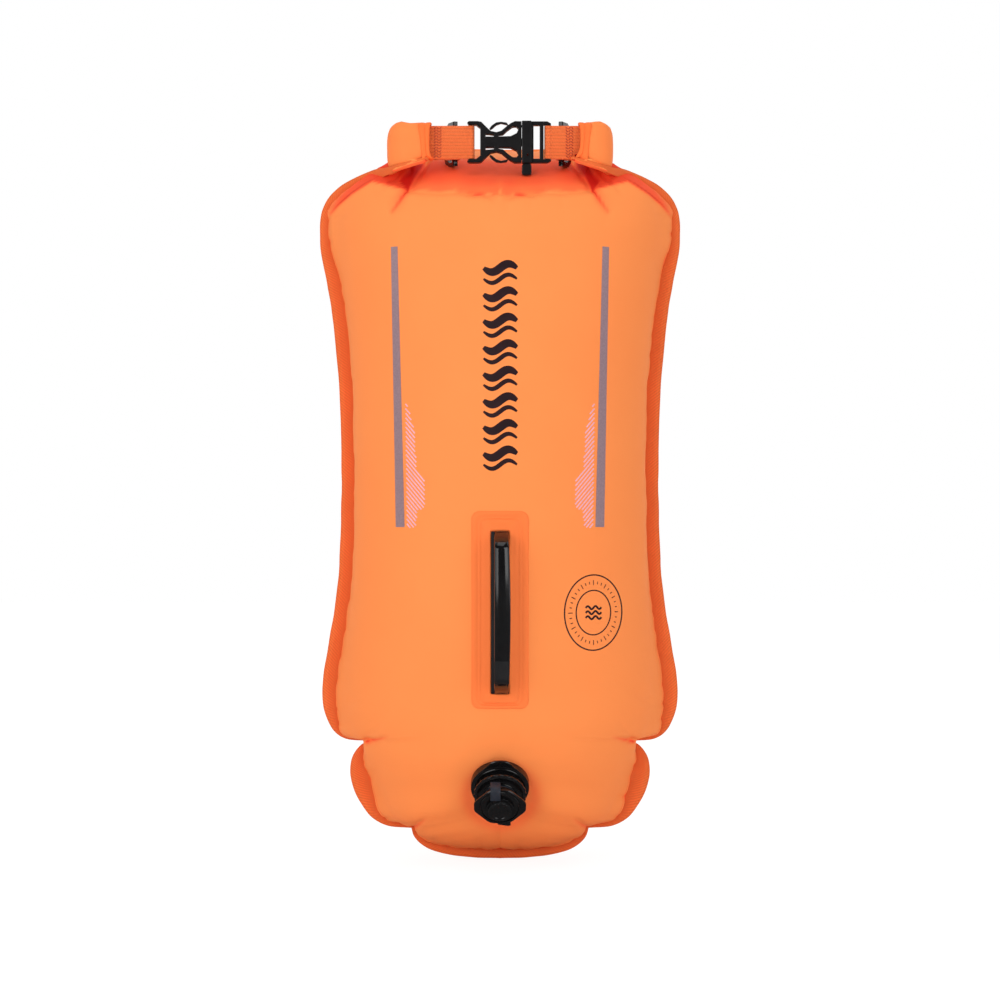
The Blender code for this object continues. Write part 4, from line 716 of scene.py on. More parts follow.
def seam_rows():
    """Seam edge, seam line, centre height, depth and way to the roll of each fine row, on the right."""
    across, up, centre, deep = np.array(BODY_ROW_SHARES).T
    flat = np.zeros(len(across))
    edge = np.stack([across * HALF_WIDTH, flat, up * BAG_HEIGHT], axis=1)
    along = np.empty_like(edge)
    along[1:-1] = edge[2:] - edge[:-2]
    along[0] = (1.0, 0.0, 0.0)
    along[-1] = edge[-1] - edge[-2]
    inward = unit(np.stack([-along[:, 2], flat, along[:, 0]], axis=1))
    seam = edge + inward * np.array(FLANGE_WIDTHS)[:, None] * MM
    rows = np.column_stack([edge, seam, centre * BAG_HEIGHT, deep * BAG_DEPTH, flat]).tolist()
    for outer, inner, forward, centre, depth, neck in SHOULDER_ROWS:
        a, b = spot(*outer, forward * MM), spot(*inner, (forward + 1.0) * MM)
        place = [-a.x, a.y - SEAM_Y, a.z, -b.x, b.y - SEAM_Y, b.z]
        rows.append(place + [centre * BAG_HEIGHT, depth * BAG_DEPTH, neck])
    rows = np.array(rows)
    fine = catmull(rows, ROW_STEPS)
    fine[:, :3] = catmull(rows[:, :3], ROW_STEPS, NOTCH_ROWS)
    length = lengths_along(fine[:, :3])
    scallop = np.array([0.9 * speckle(a * 26, 3.0) + 0.8 * abs(speckle(a * 48, 8.0)) for a in length])
    calm = 1 - smoothstep(0.85, 0.95, fine[:, 2] / BAG_HEIGHT)
    inward = unit(fine[:, 3:6] - fine[:, :3])
    fine[:, 3:6] += inward * (scallop * calm * 2.0 * MM)[:, None]
    wave = np.array([speckle(a * 60, 15.0) for a in length])
    fine[:, :3] += inward * (wave * 0.5 * MM)[:, None]
    return fine


def distance_to_line(px, py, line):
    """Distance of points to a line of points, and how far along it the nearest place is."""
    best, share = np.full(px.shape, 1e9), np.zeros(px.shape)
    line = np.array(line, dtype=float)
    lengths = np.linalg.norm(np.diff(line, axis=0), axis=1)
    done = 0.0
    for (ax, ay), (bx, by), length in zip(line, line[1:], lengths):
        t = np.clip(((px - ax) * (bx - ax) + (py - ay) * (by - ay)) / length**2, 0, 1)
        far = np.hypot(px - ax - (bx - ax) * t, py - ay - (by - ay) * t)
        near = far < best
        best = np.where(near, far, best)
        share = np.where(near, (done + t * length) / lengths.sum(), share)
        done += length
    return best, share


def marked(px, py, marks):
    """Depth of each mark along its line and how it fades beside it, at points of both halves."""
    for line, width, start, end in marks:
        for flip in (1, -1):
            shown = [(FRAME_MIDDLE + flip * (x - FRAME_MIDDLE), y) for x, y in line]
            away, share = distance_to_line(px, py, shown)
            yield start + (end - start) * share, bell(away, width)


def smoothed(values, reach):
    """Values with their sharp changes spread over a reach of rows."""
    spread = bell(np.arange(-3 * reach, 3 * reach + 1), reach)
    before = 2 * values[0] - values[3 * reach : 0 : -1]
    return np.convolve(np.concatenate([before, values, np.full(3 * reach, values[-1])]), spread / spread.sum(), "valid")


def grid_normals(points, face):
    return -face * unit(np.cross(np.gradient(points, axis=1), np.gradient(points, axis=0)))


def seam_puckers(points, rows, face):
    """Short wrinkles that run in from the seam, and the low ridge beside it."""
    edge, free = rows[:, :3], 1 - np.minimum(rows[:, 8:9], 1)
    along = lengths_along(edge)
    middle = points.shape[1] // 2
    height = np.zeros(points.shape[:2])
    lobes = 1.0 + 0.8 * (1 - smoothstep(0.05, 0.16, edge[:, 2])) + 0.5 * smoothstep(0.44, 0.50, edge[:, 2])
    for side in (-1, 1):
        seed = 11.3 * side + 5.7 * face
        warp = np.array([speckle(s * 22, seed) for s in along])
        size = np.array([0.55 + 0.9 * abs(speckle(s * 31, seed + 4.0)) for s in along])
        valley = bell(np.sin(np.pi * (along / 0.023 + warp * 1.4)), 0.42)
        columns = slice(0, middle + 1) if side < 0 else slice(middle, None)
        part = points[:, columns] if side < 0 else points[:, columns][:, ::-1]
        steps = np.linalg.norm(np.diff(part, axis=1), axis=2)
        away = np.concatenate([np.zeros((len(part), 1)), np.cumsum(steps, axis=1)], axis=1)
        away = np.maximum(away - away[:, FLANGE_COLUMNS : FLANGE_COLUMNS + 1], 0.0)
        rise = smoothstep(0.0, 4 * MM, away) * np.exp(-away / (16 * MM))
        ridge = 0.7 * MM * bell(away - 5.2 * MM, 1.6 * MM) * free
        strength = (valley * size * lobes)[:, None] * free
        fall = ridge - 1.5 * MM * strength * rise
        height[:, columns] += fall if side < 0 else fall[:, ::-1]
    return height


def front_relief(points):
    """Folds and ridges of the front, by their place in the photograph, and the valve's dimple."""
    px, py = pixels(points)
    height = np.zeros(px.shape)
    for marks, way in ((FOLDS, -1.0), (RIDGES, 1.0)):
        for depth, fade in marked(px, py, marks):
            height += way * depth * MM * fade
    valve = np.hypot(points[..., 0], (points[..., 2] - VALVE_Z) * 0.9)
    return height - 3.4 * MM * np.exp(-((valve / (32 * MM)) ** 4))


def fold_depths(points):
    """How much shade is painted on each point of the front: half for the painted shade of the neck, 1 for the painted
    dark pits.
    """
    px, py = pixels(points)
    x = FRAME_MIDDLE - np.abs(px - FRAME_MIDDLE)
    # Painted shade on the neck, above the upper edge of the front's light part
    border = np.interp(x, *zip(*FACET_EDGE)) + 1.2 * np.sin(px * 0.19) * smoothstep(415, 430, x) - py
    above = smoothstep(-1.2, 1.2, border)
    middle = smoothstep(408, 418, x)
    soft = smoothstep(-1.5, 2.0, border) * 0.42 + smoothstep(2, 16, border) * 0.18
    depth = above * 0.52 * (1 - middle) + soft * middle
    # Painted dark wedge and pits at the ends of the neck, where there is only shade
    pit_x = np.interp(py, (161.0, 191.5), (427.0, 407.5))
    wedge = 0.62 + 0.14 * smoothstep(350, 385, x)
    depth = np.maximum(depth, above * smoothstep(-1.0, 1.0, pit_x - x) * wedge)
    left_x = np.interp(py, (161.0, 183.0, 191.5), (414.0, 399.0, 406.0))
    depth = np.maximum(depth, above * smoothstep(-1.5, 1.0, pit_x - x) * smoothstep(-1.5, 1.5, x - left_x) * 0.98)
    # Painted shade along the lines of folds and creases
    for shade, fade in marked(px, py, FOLD_SHADES):
        depth = np.maximum(depth, shade * fade)
    # Painted shaded ring round the valve's dimple
    ring = np.hypot(px - 501, (py - 795) * 1.15)
    depth = np.maximum(depth, 0.30 * bell(ring - 33, 8) * (points[..., 1] < 0))
    # Less painted shade on the part deep inside the ring
    inside = smoothstep(-20 * MM, 12 * MM, points[..., 1]) * (py < 240)
    return depth * (1 - inside)


def panel_points(face):
    """The inner skin of one panel as a grid of points, row by row from the left seam to the right."""
    rows = seam_rows()
    edge, seam = rows[:, :3].copy(), rows[:, 3:6].copy()
    centre_z, depth, neck = rows[:, 6], rows[:, 7], rows[:, 8]
    ahead = np.gradient(edge, axis=0)
    ahead[:2] = (1.0, 0.0, 0.0), (1.0, 0.0, 0.02)
    normal = unit(np.cross(seam - edge, ahead))
    normal *= np.where(normal[:, 1:2] > 0.35, -1.0, 1.0)
    shift = normal * (-face) * SEAM_GAP
    shares = (np.arange(BODY_COLUMNS + 1) / BODY_COLUMNS) ** 1.15
    turn_in, turn_out = np.cos(shares * math.pi / 2), np.sin(shares * math.pi / 2)
    plan = stepped(np.array(NECK_PLAN) * MM if face < 0 else ring_plan(1, 1.0 * MM, 57 * MM), 1.5 * MM)
    lengths = np.linspace(0, 1, len(plan))
    starts = np.zeros(len(rows))
    if face > 0:
        gaps = np.hypot(seam[:, :1] - plan[None, :, 0], seam[:, 1:2] - plan[None, :, 1])
        starts = smoothed(np.minimum.accumulate(lengths[np.argmin(gaps, axis=1)]), ROW_STEPS)
        starts[-1] = 0.0
    along = starts[:, None] + (1 - starts[:, None]) * shares[None]
    path_x, path_y = (np.interp(along, lengths, plan[:, i]) for i in (0, 1))
    path_z = roll_z(path_y) - ROLL_TALL / 2 - WALL - 0.6 * MM
    if face > 0:
        path_z = path_z + 9 * MM * (1 - smoothstep(0.1, 0.4, along))
    else:
        path_z = path_z + NECK_START_RISE + (NECK_SIDE_RISE - NECK_START_RISE) * smoothstep(0.04, 0.13, shares)[None]
        path_z = path_z + (NECK_RISE - NECK_SIDE_RISE) * smoothstep(0.13, 0.5, shares)[None]
    width = smoothed(seam[:, 0], 3 * ROW_STEPS)
    inner = smoothstep(0.0, 0.22, shares)[None]
    height = seam[:, 2:3] + (centre_z - seam[:, 2])[:, None] * (1 - turn_in)
    rise = centre_z / BAG_HEIGHT
    even = (smoothstep(0.10, 0.14, rise) * (1 - smoothstep(0.25, 0.32, rise)))[:, None]
    body_rows = len(BODY_ROW_SHARES) * ROW_STEPS
    level = np.interp(height, centre_z[:body_rows], depth[:body_rows])
    bulge = depth[:, None] * (1 - even) + level * even
    body_x = (seam[:, :1] * (1 - inner) + width[:, None] * inner) * turn_in
    body = np.stack([body_x, seam[:, 1:2] * turn_in + face * bulge * turn_out, height], axis=2)
    over = np.maximum(neck - 1, 0)[:, None] * smoothstep(0.5, 0.8, shares)[None] * 10
    path = np.stack([path_x, path_y + over * 10 * MM, path_z + over * 1.2 * MM], axis=2)
    share = np.minimum(neck, 1.0)[:, None, None]
    point = body * (1 - share) + path * share
    pull = (seam + shift)[:, None] - point[:, :1]
    point = point + pull * ((1 - shares) ** 2)[None, :, None]
    flange = [edge + (seam - edge) * (step / FLANGE_COLUMNS) + shift for step in range(FLANGE_COLUMNS)]
    right = np.concatenate([np.stack(flange, axis=1), point], axis=1)
    points = np.concatenate([right * (-1, 1, 1), right[:, -2::-1]], axis=1)
    points[..., 1] += SEAM_Y
    return points, rows


def soft_unevenness(points, face):
    """Low, broad unevenness over a panel."""
    coarse = np.array([[speckle(p[0] * 16, p[2] * 11, face * 3.1) for p in row] for row in points[::4, ::4]])
    fine = np.repeat(np.repeat(coarse, 4, axis=0), 4, axis=1)[: points.shape[0], : points.shape[1]]
    for _ in range(6):
        padded = np.pad(fine, 1, mode="edge")
        fine = (padded[:-2, 1:-1] + padded[2:, 1:-1] + padded[1:-1, :-2] + padded[1:-1, 2:] + fine) / 5
    return fine * 0.8 * MM


def bag_panel(face, finishes):
    """One inflated panel with its half of the welded seam."""
    points, rows = panel_points(face)
    height = seam_puckers(points, rows, face)
    if face < 0:
        height += front_relief(points)
    body = np.ones(points.shape[1])
    body[: FLANGE_COLUMNS + 1] = body[-FLANGE_COLUMNS - 1 :] = 0.0
    height = (height + soft_unevenness(points, face)) * body
    points = points + grid_normals(points, face) * height[..., None]
    lines, columns = points.shape[:2]
    steps_up = np.linalg.norm(np.diff(points, axis=0, prepend=points[:1]), axis=2)
    from_left = np.cumsum(np.linalg.norm(np.diff(points, axis=1, prepend=points[:, :1]), axis=2), axis=1)
    nearest = np.minimum(from_left, from_left[:, -1:] - from_left)
    nearest = nearest - nearest[:, FLANGE_COLUMNS : FLANGE_COLUMNS + 1]
    edge_length = np.broadcast_to(np.cumsum(steps_up[:, 0])[:, None], (lines, columns))
    uvs = np.stack([edge_length, nearest], axis=2).reshape(-1, 2)
    faces, picks = [], []
    for line in range(lines - 1):
        for column in range(columns - 1):
            a = line * columns + column
            quad = (a, a + 1, a + columns + 1, a + columns)
            welded = column < FLANGE_COLUMNS or column >= columns - 1 - FLANGE_COLUMNS
            if face < 0 and not welded:
                away = Vector(points[line, column]) - VALVE_SEAT
                if away.length < 30 * MM and (away - VALVE_AXIS * away.dot(VALVE_AXIS)).length < VALVE_HOLE:
                    continue
            faces.append(quad if face < 0 else quad[::-1])
            picks.append(int(welded))
    name = "bag_front" if face < 0 else "bag_back"
    materials = [finishes["fabric"], finishes["weld"]]
    obj = make(name, points.reshape(-1, 3), faces, materials, picks, uvs, outward=False)
    if face < 0:
        # Painted shade of the front's folds, neck, pits and valve ring, kept as an attribute for its finish
        mask = obj.data.attributes.new("fold_depth", "FLOAT", "POINT")
        places = np.empty(len(obj.data.vertices) * 3)
        obj.data.vertices.foreach_get("co", places)
        mask.data.foreach_set("value", fold_depths(places.reshape(-1, 3)).astype(np.float32))
    solid = obj.modifiers.new("wall", "SOLIDIFY")
    solid.thickness = WALL
    solid.offset = 1.0
    solid.use_quality_normals = True
    return bake(obj)


def front_surface():
    """The bag's front, to find its height under a place."""
    mesh = bpy.data.objects["bag_front"].data
    return BVHTree.FromPolygons([v.co.copy() for v in mesh.vertices], [tuple(p.vertices) for p in mesh.polygons])


def on_front(surface, x, z, rise):
    """A point over the bag's front at a height along its normal."""
    place, normal, _, _ = surface.ray_cast(Vector((x, -0.3, z)), Vector((0.0, 1.0, 0.0)))
    if place is None:
        raise RuntimeError("no front panel at " + str((x, z)))
    return place + (-normal if normal.y > 0 else normal) * rise


# Roll


def coil_outline(pitch, wall, turns=2.2, per_turn=36):
    """A flattened coil of cloth as one closed outline, across the roll and up."""
    outer, inner = [], []
    for index in range(round(turns * per_turn) + 1):
        turn = index / per_turn
        c, s = math.cos(math.tau * (turn + 0.62)), math.sin(math.tau * (turn + 0.62))
        for line, deeper in ((outer, 0.0), (inner, wall)):
            inset = turn * pitch + deeper
            across = math.copysign(abs(c) ** 0.55, c) * (ROLL_THICKNESS / 2 - inset)
            line.append((across, math.copysign(abs(s) ** 0.75, s) * (ROLL_TALL / 2 - inset)))
    return np.array(outer + inner[::-1])


def roll_mesh(finishes):
    """The rolled mouth: a flattened coil of both panels, bent round to the buckle."""
    left = ring_plan(-1, 0.0, -ROLL_LEFT_END + ROLL_INSET)
    right = ring_plan(1, 0.0, ROLL_RIGHT_END + ROLL_INSET)
    path = stepped(np.concatenate([left, right[::-1][1:]]), 3.2 * MM)
    length = lengths_along(path)
    rings = []
    for point, normal, way, along in zip(path, plan_normals(path), unit(np.gradient(path, axis=0)), length):
        near_end = min(along, length[-1] - along)
        loose = float(smoothstep(20 * MM, 30 * MM, near_end))
        narrow = 1 - float(smoothstep(0.0, 12 * MM, near_end))
        bulge = 1.0 + 0.035 * speckle(along * 42, 2.0)
        squeeze = 1.0 - 0.13 * narrow + 0.012 * speckle(along * 55, 4.0)
        z = roll_z(point[1]) + 0.5 * MM * speckle(along * 30, 7.0) + ROLL_END_LIFT * narrow
        corner = 1.8 * MM * bell(abs(point[0]) - 75.5 * MM, 4 * MM) * (point[1] < 0)
        ring = []
        for index, (across, up) in enumerate(coil_outline(0.70 * MM + 1.3 * MM * loose, 0.6 * MM + 0.5 * MM * loose)):
            swell = 0.45 * MM * speckle(along * 70, up * 90, across * 40)
            out = across * bulge + math.copysign(swell, across)
            ragged = 0.8 * MM * speckle(index * 0.3, along * 10) if near_end < 1e-6 else 0.0
            ring.append((*(point + normal * out + way * ragged), z + up * squeeze + corner * (up > 0)))
        rings.append(ring)
    roll = lofted("rolled_mouth", rings, finishes["roll"], 50)
    roll.data.transform(Matrix.Translation((0.0, SEAM_Y, 0.0)))
    return roll


def sleeve_mesh(side, finishes):
    """Hemmed sleeve at one end of the roll, open where the webbing comes out."""
    end = ROLL_LEFT_END if side < 0 else ROLL_RIGHT_END
    start = end + side * SLEEVE_LENGTH
    rings = []
    for share, wide, tall in SLEEVE_PROFILE:
        narrow = float(smoothstep(-0.4, 0.6, share))
        grow_y = 1 + wide * MM / (ROLL_THICKNESS / 2)
        grow_z = (1 - 0.19 * narrow) * (1 + tall * MM / (ROLL_TALL / 2))
        ring = []
        for across, up in rounded_loop(ROLL_THICKNESS / 2, ROLL_TALL / 2, 4.6 * MM, 6, 4, 14):
            height = up / (ROLL_TALL / 2)
            lower = 3.0 * height**6 if side < 0 else 3.2 * height**2 + 4.5 * height**8
            lip = (-2.6 + (1.6 * height**4 if height > 0 else lower)) * MM
            slant = (0.5 - 0.5 * height) * 3.5 * MM * (1 - share)
            x = start + (end - start - side * lip) * share - side * slant
            wobble = 0.3 * MM * speckle(x * 90, up * 80, across * 60 + side)
            y = ROLL_FRONT + SEAM_Y + across * grow_y + math.copysign(wobble, across)
            ring.append((x, y, roll_z(ROLL_FRONT) + up * grow_z + ROLL_END_LIFT * narrow))
        rings.append(ring)
    return lofted("strap_sleeve_" + ("left" if side < 0 else "right"), rings, finishes["hem"], 60, True)


# Straps


def strap(name, finish, width, thickness, layer, bar, bar_y, inner, tail, tail_y, reach):
    """A strap on edge, from its tail round a bar and back to its tail. Bar and tail are in millimetres."""
    bar, tail = bar * MM, tail * MM
    way, radius = math.copysign(1.0, tail - bar), inner + layer / 2
    arc = np.linspace(math.radians(40), math.tau - math.radians(40), 26)
    front = [(tail, tail_y - layer / 2), (bar + way * reach, tail_y - layer / 2)]
    bend = [(bar + way * radius * math.cos(a), bar_y - radius * math.sin(a)) for a in arc]
    back = [(bar + way * reach, tail_y + layer / 2), (tail, tail_y + layer / 2)]
    path = stepped(np.array(front + bend + back), 0.7 * MM)
    half, thin = width / 2, thickness / 2
    soft = half - thin * 0.7
    section = [(-thin, -soft), (-thin / 2, -half), (thin / 2, -half), (thin, -soft), (thin, 0.0)]
    section += [(-out, -up) for out, up in section]
    rings, uvs = [], []
    for point, normal, length in zip(path, plan_normals(path), lengths_along(path)):
        rings.append([(*(point + normal * out), BUCKLE_Z + up) for out, up in section])
        uvs += [(length, up) for _, up in section]
    return make(name, *loft(rings), [finish], uvs=uvs, sharp=50)


# Small repeated marks


def bars_on_points():
    """Geometry nodes that put a small rounded bar on each point, turned and sized by the point."""
    found = bpy.data.node_groups.get("bars_on_points")
    if found:
        return found
    tree = bpy.data.node_groups.new("bars_on_points", "GeometryNodeTree")
    for name, kind in (("Geometry", "Geometry"), ("Length", "Float"), ("Width", "Float"), ("Height", "Float"),
                       ("Material", "Material")):
        tree.interface.new_socket(name, in_out="INPUT", socket_type="NodeSocket" + kind)
    tree.interface.new_socket("Geometry", in_out="OUTPUT", socket_type="NodeSocketGeometry")
    given = tree.nodes.new("NodeGroupInput").outputs
    size = add(tree, "ShaderNodeCombineXYZ", {0: given["Length"], 1: given["Width"], 2: given["Height"]})
    bar = add(tree, "GeometryNodeMeshCube", {"Size": size.outputs[0]})
    rounded = {"Mesh": bar.outputs[0], "Level": 1, "Edge Crease": 0.45}
    bar = add(tree, "GeometryNodeSubdivisionSurface", rounded)
    turn, growth = (
        add(tree, "GeometryNodeInputNamedAttribute", {"Name": name}, data_type="FLOAT_VECTOR").outputs[0]
        for name in ("turn", "growth")
    )
    turn = add(tree, "FunctionNodeEulerToRotation", {0: turn}).outputs[0]
    inputs = {"Points": given["Geometry"], "Instance": bar.outputs[0], "Rotation": turn, "Scale": growth}
    spread = add(tree, "GeometryNodeInstanceOnPoints", inputs)
    real = add(tree, "GeometryNodeRealizeInstances", {0: spread.outputs[0]})
    painted = add(tree, "GeometryNodeSetMaterial", {"Geometry": real.outputs[0], "Material": given["Material"]})
    smooth = add(tree, "GeometryNodeSetShadeSmooth", {0: painted.outputs[0]})
    add(tree, "NodeGroupOutput", {0: smooth.outputs[0]})
    return tree


def scatter(name, places, size, material):
    """Small bars at places, each a point, a direction, a normal and a growth of its length."""
    mesh = bpy.data.meshes.new(name)
    mesh.from_pydata([tuple(place) for place, _, _, _ in places], [], [])
    turns, growths = [], []
    for _, way, normal, growth in places:
        way, normal = Vector(way).normalized(), Vector(normal).normalized()
        side = normal.cross(way).normalized()
        turns += list(Matrix((side.cross(normal), side, normal)).transposed().to_euler())
        growths += [growth, 1.0, 1.0]
    for key, values in (("turn", turns), ("growth", growths)):
        mesh.attributes.new(key, "FLOAT_VECTOR", "POINT").data.foreach_set("vector", values)
    obj = placed(name, mesh)
    modifier = obj.modifiers.new("bars", "NODES")
    modifier.node_group = bars_on_points()
    values = dict(zip(("Length", "Width", "Height", "Material"), (*size, material)))
    for item in modifier.node_group.interface.items_tree:
        if item.in_out == "INPUT" and item.name in values:
            modifier[item.identifier] = values[item.name]
    return bake(obj)


def strap_stitches(start, way):
    """Places of the slanted stitches that close the webbing's end, from a start in millimetres."""
    places = []
    face_y = ROLL_FRONT + SEAM_Y - STRAP_THICKNESS - 0.02 * MM
    for column in range(3):
        for row in range(11):
            place = Vector(((start + way * (1.0 + 2.1 * column)) * MM, face_y, BUCKLE_Z + (row - 5) * 2.2 * MM))
            places.append((place, (way, 0.0, 1.1 * (-1) ** column), (0.0, -1.0, 0.0), 1.0))
    return places


# Front prints


def marks_on_front(name, lines, rise, thickness, material):
    """Flat marks along lines on the bag's front. Each line is a list of x, z and half width."""
    surface = front_surface()
    verts, faces = [], []
    for line in lines:
        line = np.array(line, dtype=float)
        closed = bool(len(line) > 8 and np.linalg.norm(line[0, :2] - line[-1, :2]) < 0.01 * MM)
        line = line[:-1] if closed else line
        rings = []
        for (x, z, half), normal in zip(line, plan_normals(line[:, :2], closed)):
            reach = normal * half
            section = ((1, -thickness), (1, rise), (0, rise * 1.15), (-1, rise), (-1, -thickness))
            rings.append([on_front(surface, x + reach[0] * side, z + reach[1] * side, up) for side, up in section])
        points, quads = loft(rings, closed)
        base = len(verts)
        verts += [tuple(p) for p in points]
        faces += [tuple(base + i for i in quad) for quad in quads]
    return make(name, verts, faces, [material], sharp=30)


def photo_point(px, py, forward=85 * MM):
    place = spot(px, py, forward)
    return place.x, place.z


def strip_lines(side):
    """Middle line of one reflective strip, from its top to its foot."""
    line = []
    for share in np.arange(60) / 59:
        line.append((side * (80.5 - 4.7 * share) * MM, (476.0 - 213.4 * share) * MM, (5.0 + 1.8 * share) * MM / 2))
    return line


def hatch_lines(side):
    """Short slanted lines beside the strip's foot, in two steps of width."""
    lines = []
    for step in range(27):
        line = []
        for go in 1.15 * np.arange(18):
            py = 404 + step * 4.6 + go * 1.2
            reach = np.interp(py, (400, 432, 468, 480, 508, 512, 527), (0.5, 10, 10.5, 18.5, 18.5, 11, 10))
            if go > reach or py > 528:
                break
            x, z = photo_point(405.5 + go + (py - 400) * 0.012, py)
            line.append((side * -x, z, HATCH_WIDTH / 2))
        if len(line) > 2:
            lines.append(line)
    return lines


def badge_lines():
    """Two plain rings and a stack of waves in the middle."""
    cx, cz = photo_point(*BADGE_MIDDLE)
    lines = []
    for across, up, width in ((29.3, 37.6, 1.0), (17.6, 22.2, 0.9)):
        across, up, half = across * BADGE_SCALE, up * BADGE_SCALE, width * MM / 2
        turns = [math.tau * step / 72 for step in range(73)]
        lines.append([(cx + across * math.cos(a), cz + up * math.sin(a), half) for a in turns])
    for level in (-5.0, 0.0, 5.0):
        places = [-8.0 + 16.0 * step / 18 for step in range(19)]
        heights = [level + 1.6 * math.sin(across * 0.8) for across in places]
        lines.append([(cx + a * PIXEL * 0.96, cz + b * PIXEL * 0.96, 0.75 * MM) for a, b in zip(places, heights)])
    return lines


def badge_ticks():
    """Places of the ticks between the badge's rings, every third one long."""
    surface = front_surface()
    cx, cz = photo_point(*BADGE_MIDDLE)
    places = []
    for step in range(36):
        c, s = math.cos(math.tau * step / 36), math.sin(math.tau * step / 36)
        x, z = cx + 23.4 * BADGE_SCALE * c, cz + 29.9 * BADGE_SCALE * s
        place, ahead, beside = (
            on_front(surface, x + 0.5 * MM * a, z + 0.5 * MM * b, 0.02 * MM) for a, b in ((0, 0), (c, s), (-s, c))
        )
        normal = (beside - place).cross(ahead - place)
        places.append((place, ahead - place, -normal if normal.y > 0 else normal, 0.9 if step % 3 else 1.6))
    return places


def wave_lines():
    """A column of wave stripes down the middle of the front."""
    lines = []
    for row in range(8):
        for level, width in ((-4.6, 8.6), (6.4, 4.6)):
            wave = []
            for share in np.arange(25) / 24:
                py = 272 + row * 26.6 + level + 4.2 * math.sin(share * math.tau)
                half = width * PIXEL * 0.475 * (1.0 - 0.55 * abs(2 * share - 1) ** 3)
                wave.append((*photo_point(WAVES_LEFT + WAVES_WIDTH * share, py, 108 * MM), half))
            lines.append(wave)
    return lines


# Handle


def patch_mesh(finishes):
    """Welded patch with two pressed outlines and a window, lying on the front."""
    surface = front_surface()
    rings = []
    for index, (across, up, corner, rise) in enumerate(PATCH_LOOPS):
        middle = (HANDLE_MIDDLE + 2.0 * (1 - index / (len(PATCH_LOOPS) - 1))) * MM
        ring = []
        for x, z in rounded_loop(across * MM, up * MM, corner * MM):
            ring.append(on_front(surface, x, z + middle, rise * MM + 0.06 * MM * speckle(x * 160, z * 160)))
        rings.append(ring)
    return lofted("handle_patch_cloth", rings, finishes["patch"], 75, True)


def backing_mesh(finishes):
    """Rubber strip that shows in the patch's window behind the handle."""
    surface = front_surface()
    rings = []
    for across, up, rise in BACKING_LOOPS:
        outline = rounded_loop(across * MM, up * MM, 0.9 * MM, 3, 4, 40)
        rings.append([on_front(surface, x, z + HANDLE_MIDDLE * MM, rise * MM) for x, z in outline])
    return lofted("handle_backing", rings, finishes["rubber"], 50)


def handle_mesh(finishes):
    """Arched handle strap with a shallow groove down its face and a matte pad near its foot."""
    half, inner = HANDLE_HALF, HANDLE_HALF - HANDLE_END
    pieces = np.linspace(-half, -inner, 26)[:-1], np.linspace(-inner, inner, 60), np.linspace(inner, half, 26)[1:]
    along = np.concatenate(pieces)
    share = np.clip((half - np.abs(along)) / 10.5, 0.0, 1.0)
    crown = 1 - (along / half) ** 2
    rise = 15.6 * (1 - (1 - share) ** 1.7) + 2.6 * crown
    front = front_surface()
    low, high = (on_front(front, 1.2 * MM, (HANDLE_MIDDLE + end) * MM, 1.0 * MM).y for end in (-half, half))
    path = np.stack([along, rise], axis=1) * MM
    rings = []
    for (reach, out), normal, full in zip(path, plan_normals(path), crown):
        surface = low + (high - low) * (reach / MM + half) / (2 * half)
        left, right = -4.3 * MM, (6.5 + 1.5 * full) * MM
        ring = []
        for across, up in HANDLE_SECTION:
            x = (left + right) / 2 + across * (right - left) / 2
            ring.append((x, surface - out - normal[1] * up * MM, HANDLE_MIDDLE * MM + reach + normal[0] * up * MM))
        rings.append(ring)
    verts, faces = loft(rings)
    around, low, high = len(HANDLE_SECTION), *HANDLE_PAD
    matte = [int(low < place < high) for place in along[:-1] for _ in range(around)]
    return make("handle_grip", verts, faces, [finishes["gloss"], finishes["rubber"]], matte + [0, 0], sharp=45)


# Valve


def on_valve(x, y, z):
    """A point at a place in millimetres across, up and out along the valve's axis."""
    return VALVE_PLACE @ Vector((x * MM, y * MM, z * MM))


def turned(name, section, finish, steps=96, ribs=((), 0, 1)):
    """A turned piece of the valve. Ribs say which points of its section grow, how far and how often."""
    rings = []
    for step in range(steps):
        c, s = math.cos(math.tau * step / steps), math.sin(math.tau * step / steps)
        grown = ribs[1] if step % ribs[2] < ribs[2] // 2 else 0
        radii = [radius + grown * (index in ribs[0]) for index, (radius, _) in enumerate(section)]
        rings.append([on_valve(radius * c, radius * s, height) for radius, (_, height) in zip(radii, section)])
    return lofted(name, rings, finish, 38, True)


def join(name, objects):
    """One object of several, keeping their materials."""
    first = objects[0]
    for other in objects[1:]:
        for material in other.data.materials:
            if material.name not in first.data.materials:
                first.data.materials.append(material)
    with bpy.context.temp_override(active_object=first, selected_editable_objects=objects):
        bpy.ops.object.join()
    first.name = name
    return first


def extruded(name, outline, low, high, finish, bevel=0.5):
    """A flat piece with rounded edges, from an outline in millimetres round the valve's axis."""
    outline = np.array(outline, dtype=float)
    centre = outline.mean(axis=0)
    size = np.maximum(np.linalg.norm(outline - centre, axis=1, keepdims=True), 1e-6)
    rings = []
    for height, inset in ((low, bevel), (low + bevel, 0.0), (high - bevel, 0.0), (high, bevel)):
        rings.append([on_valve(x, y, height) for x, y in centre + (outline - centre) * (1 - inset / size)])
    return lofted(name, rings, finish, 38)


def octagon(across, up, cut):
    """A rectangle with cut and softened corners, by its half sizes."""
    quarter = [(across, -up + cut), (across, up - cut), (across - cut, up), (-across + cut, up)]
    points = np.array(quarter + [(-x, -y) for x, y in quarter])
    rounded = []
    for before, here, after in zip(np.roll(points, 1, axis=0), points, np.roll(points, -1, axis=0)):
        for back, on in ((0.18, 0.0), (0.05, 0.05), (0.0, 0.18)):
            rounded.append(here + (before - here) * back + (after - here) * on)
    return rounded


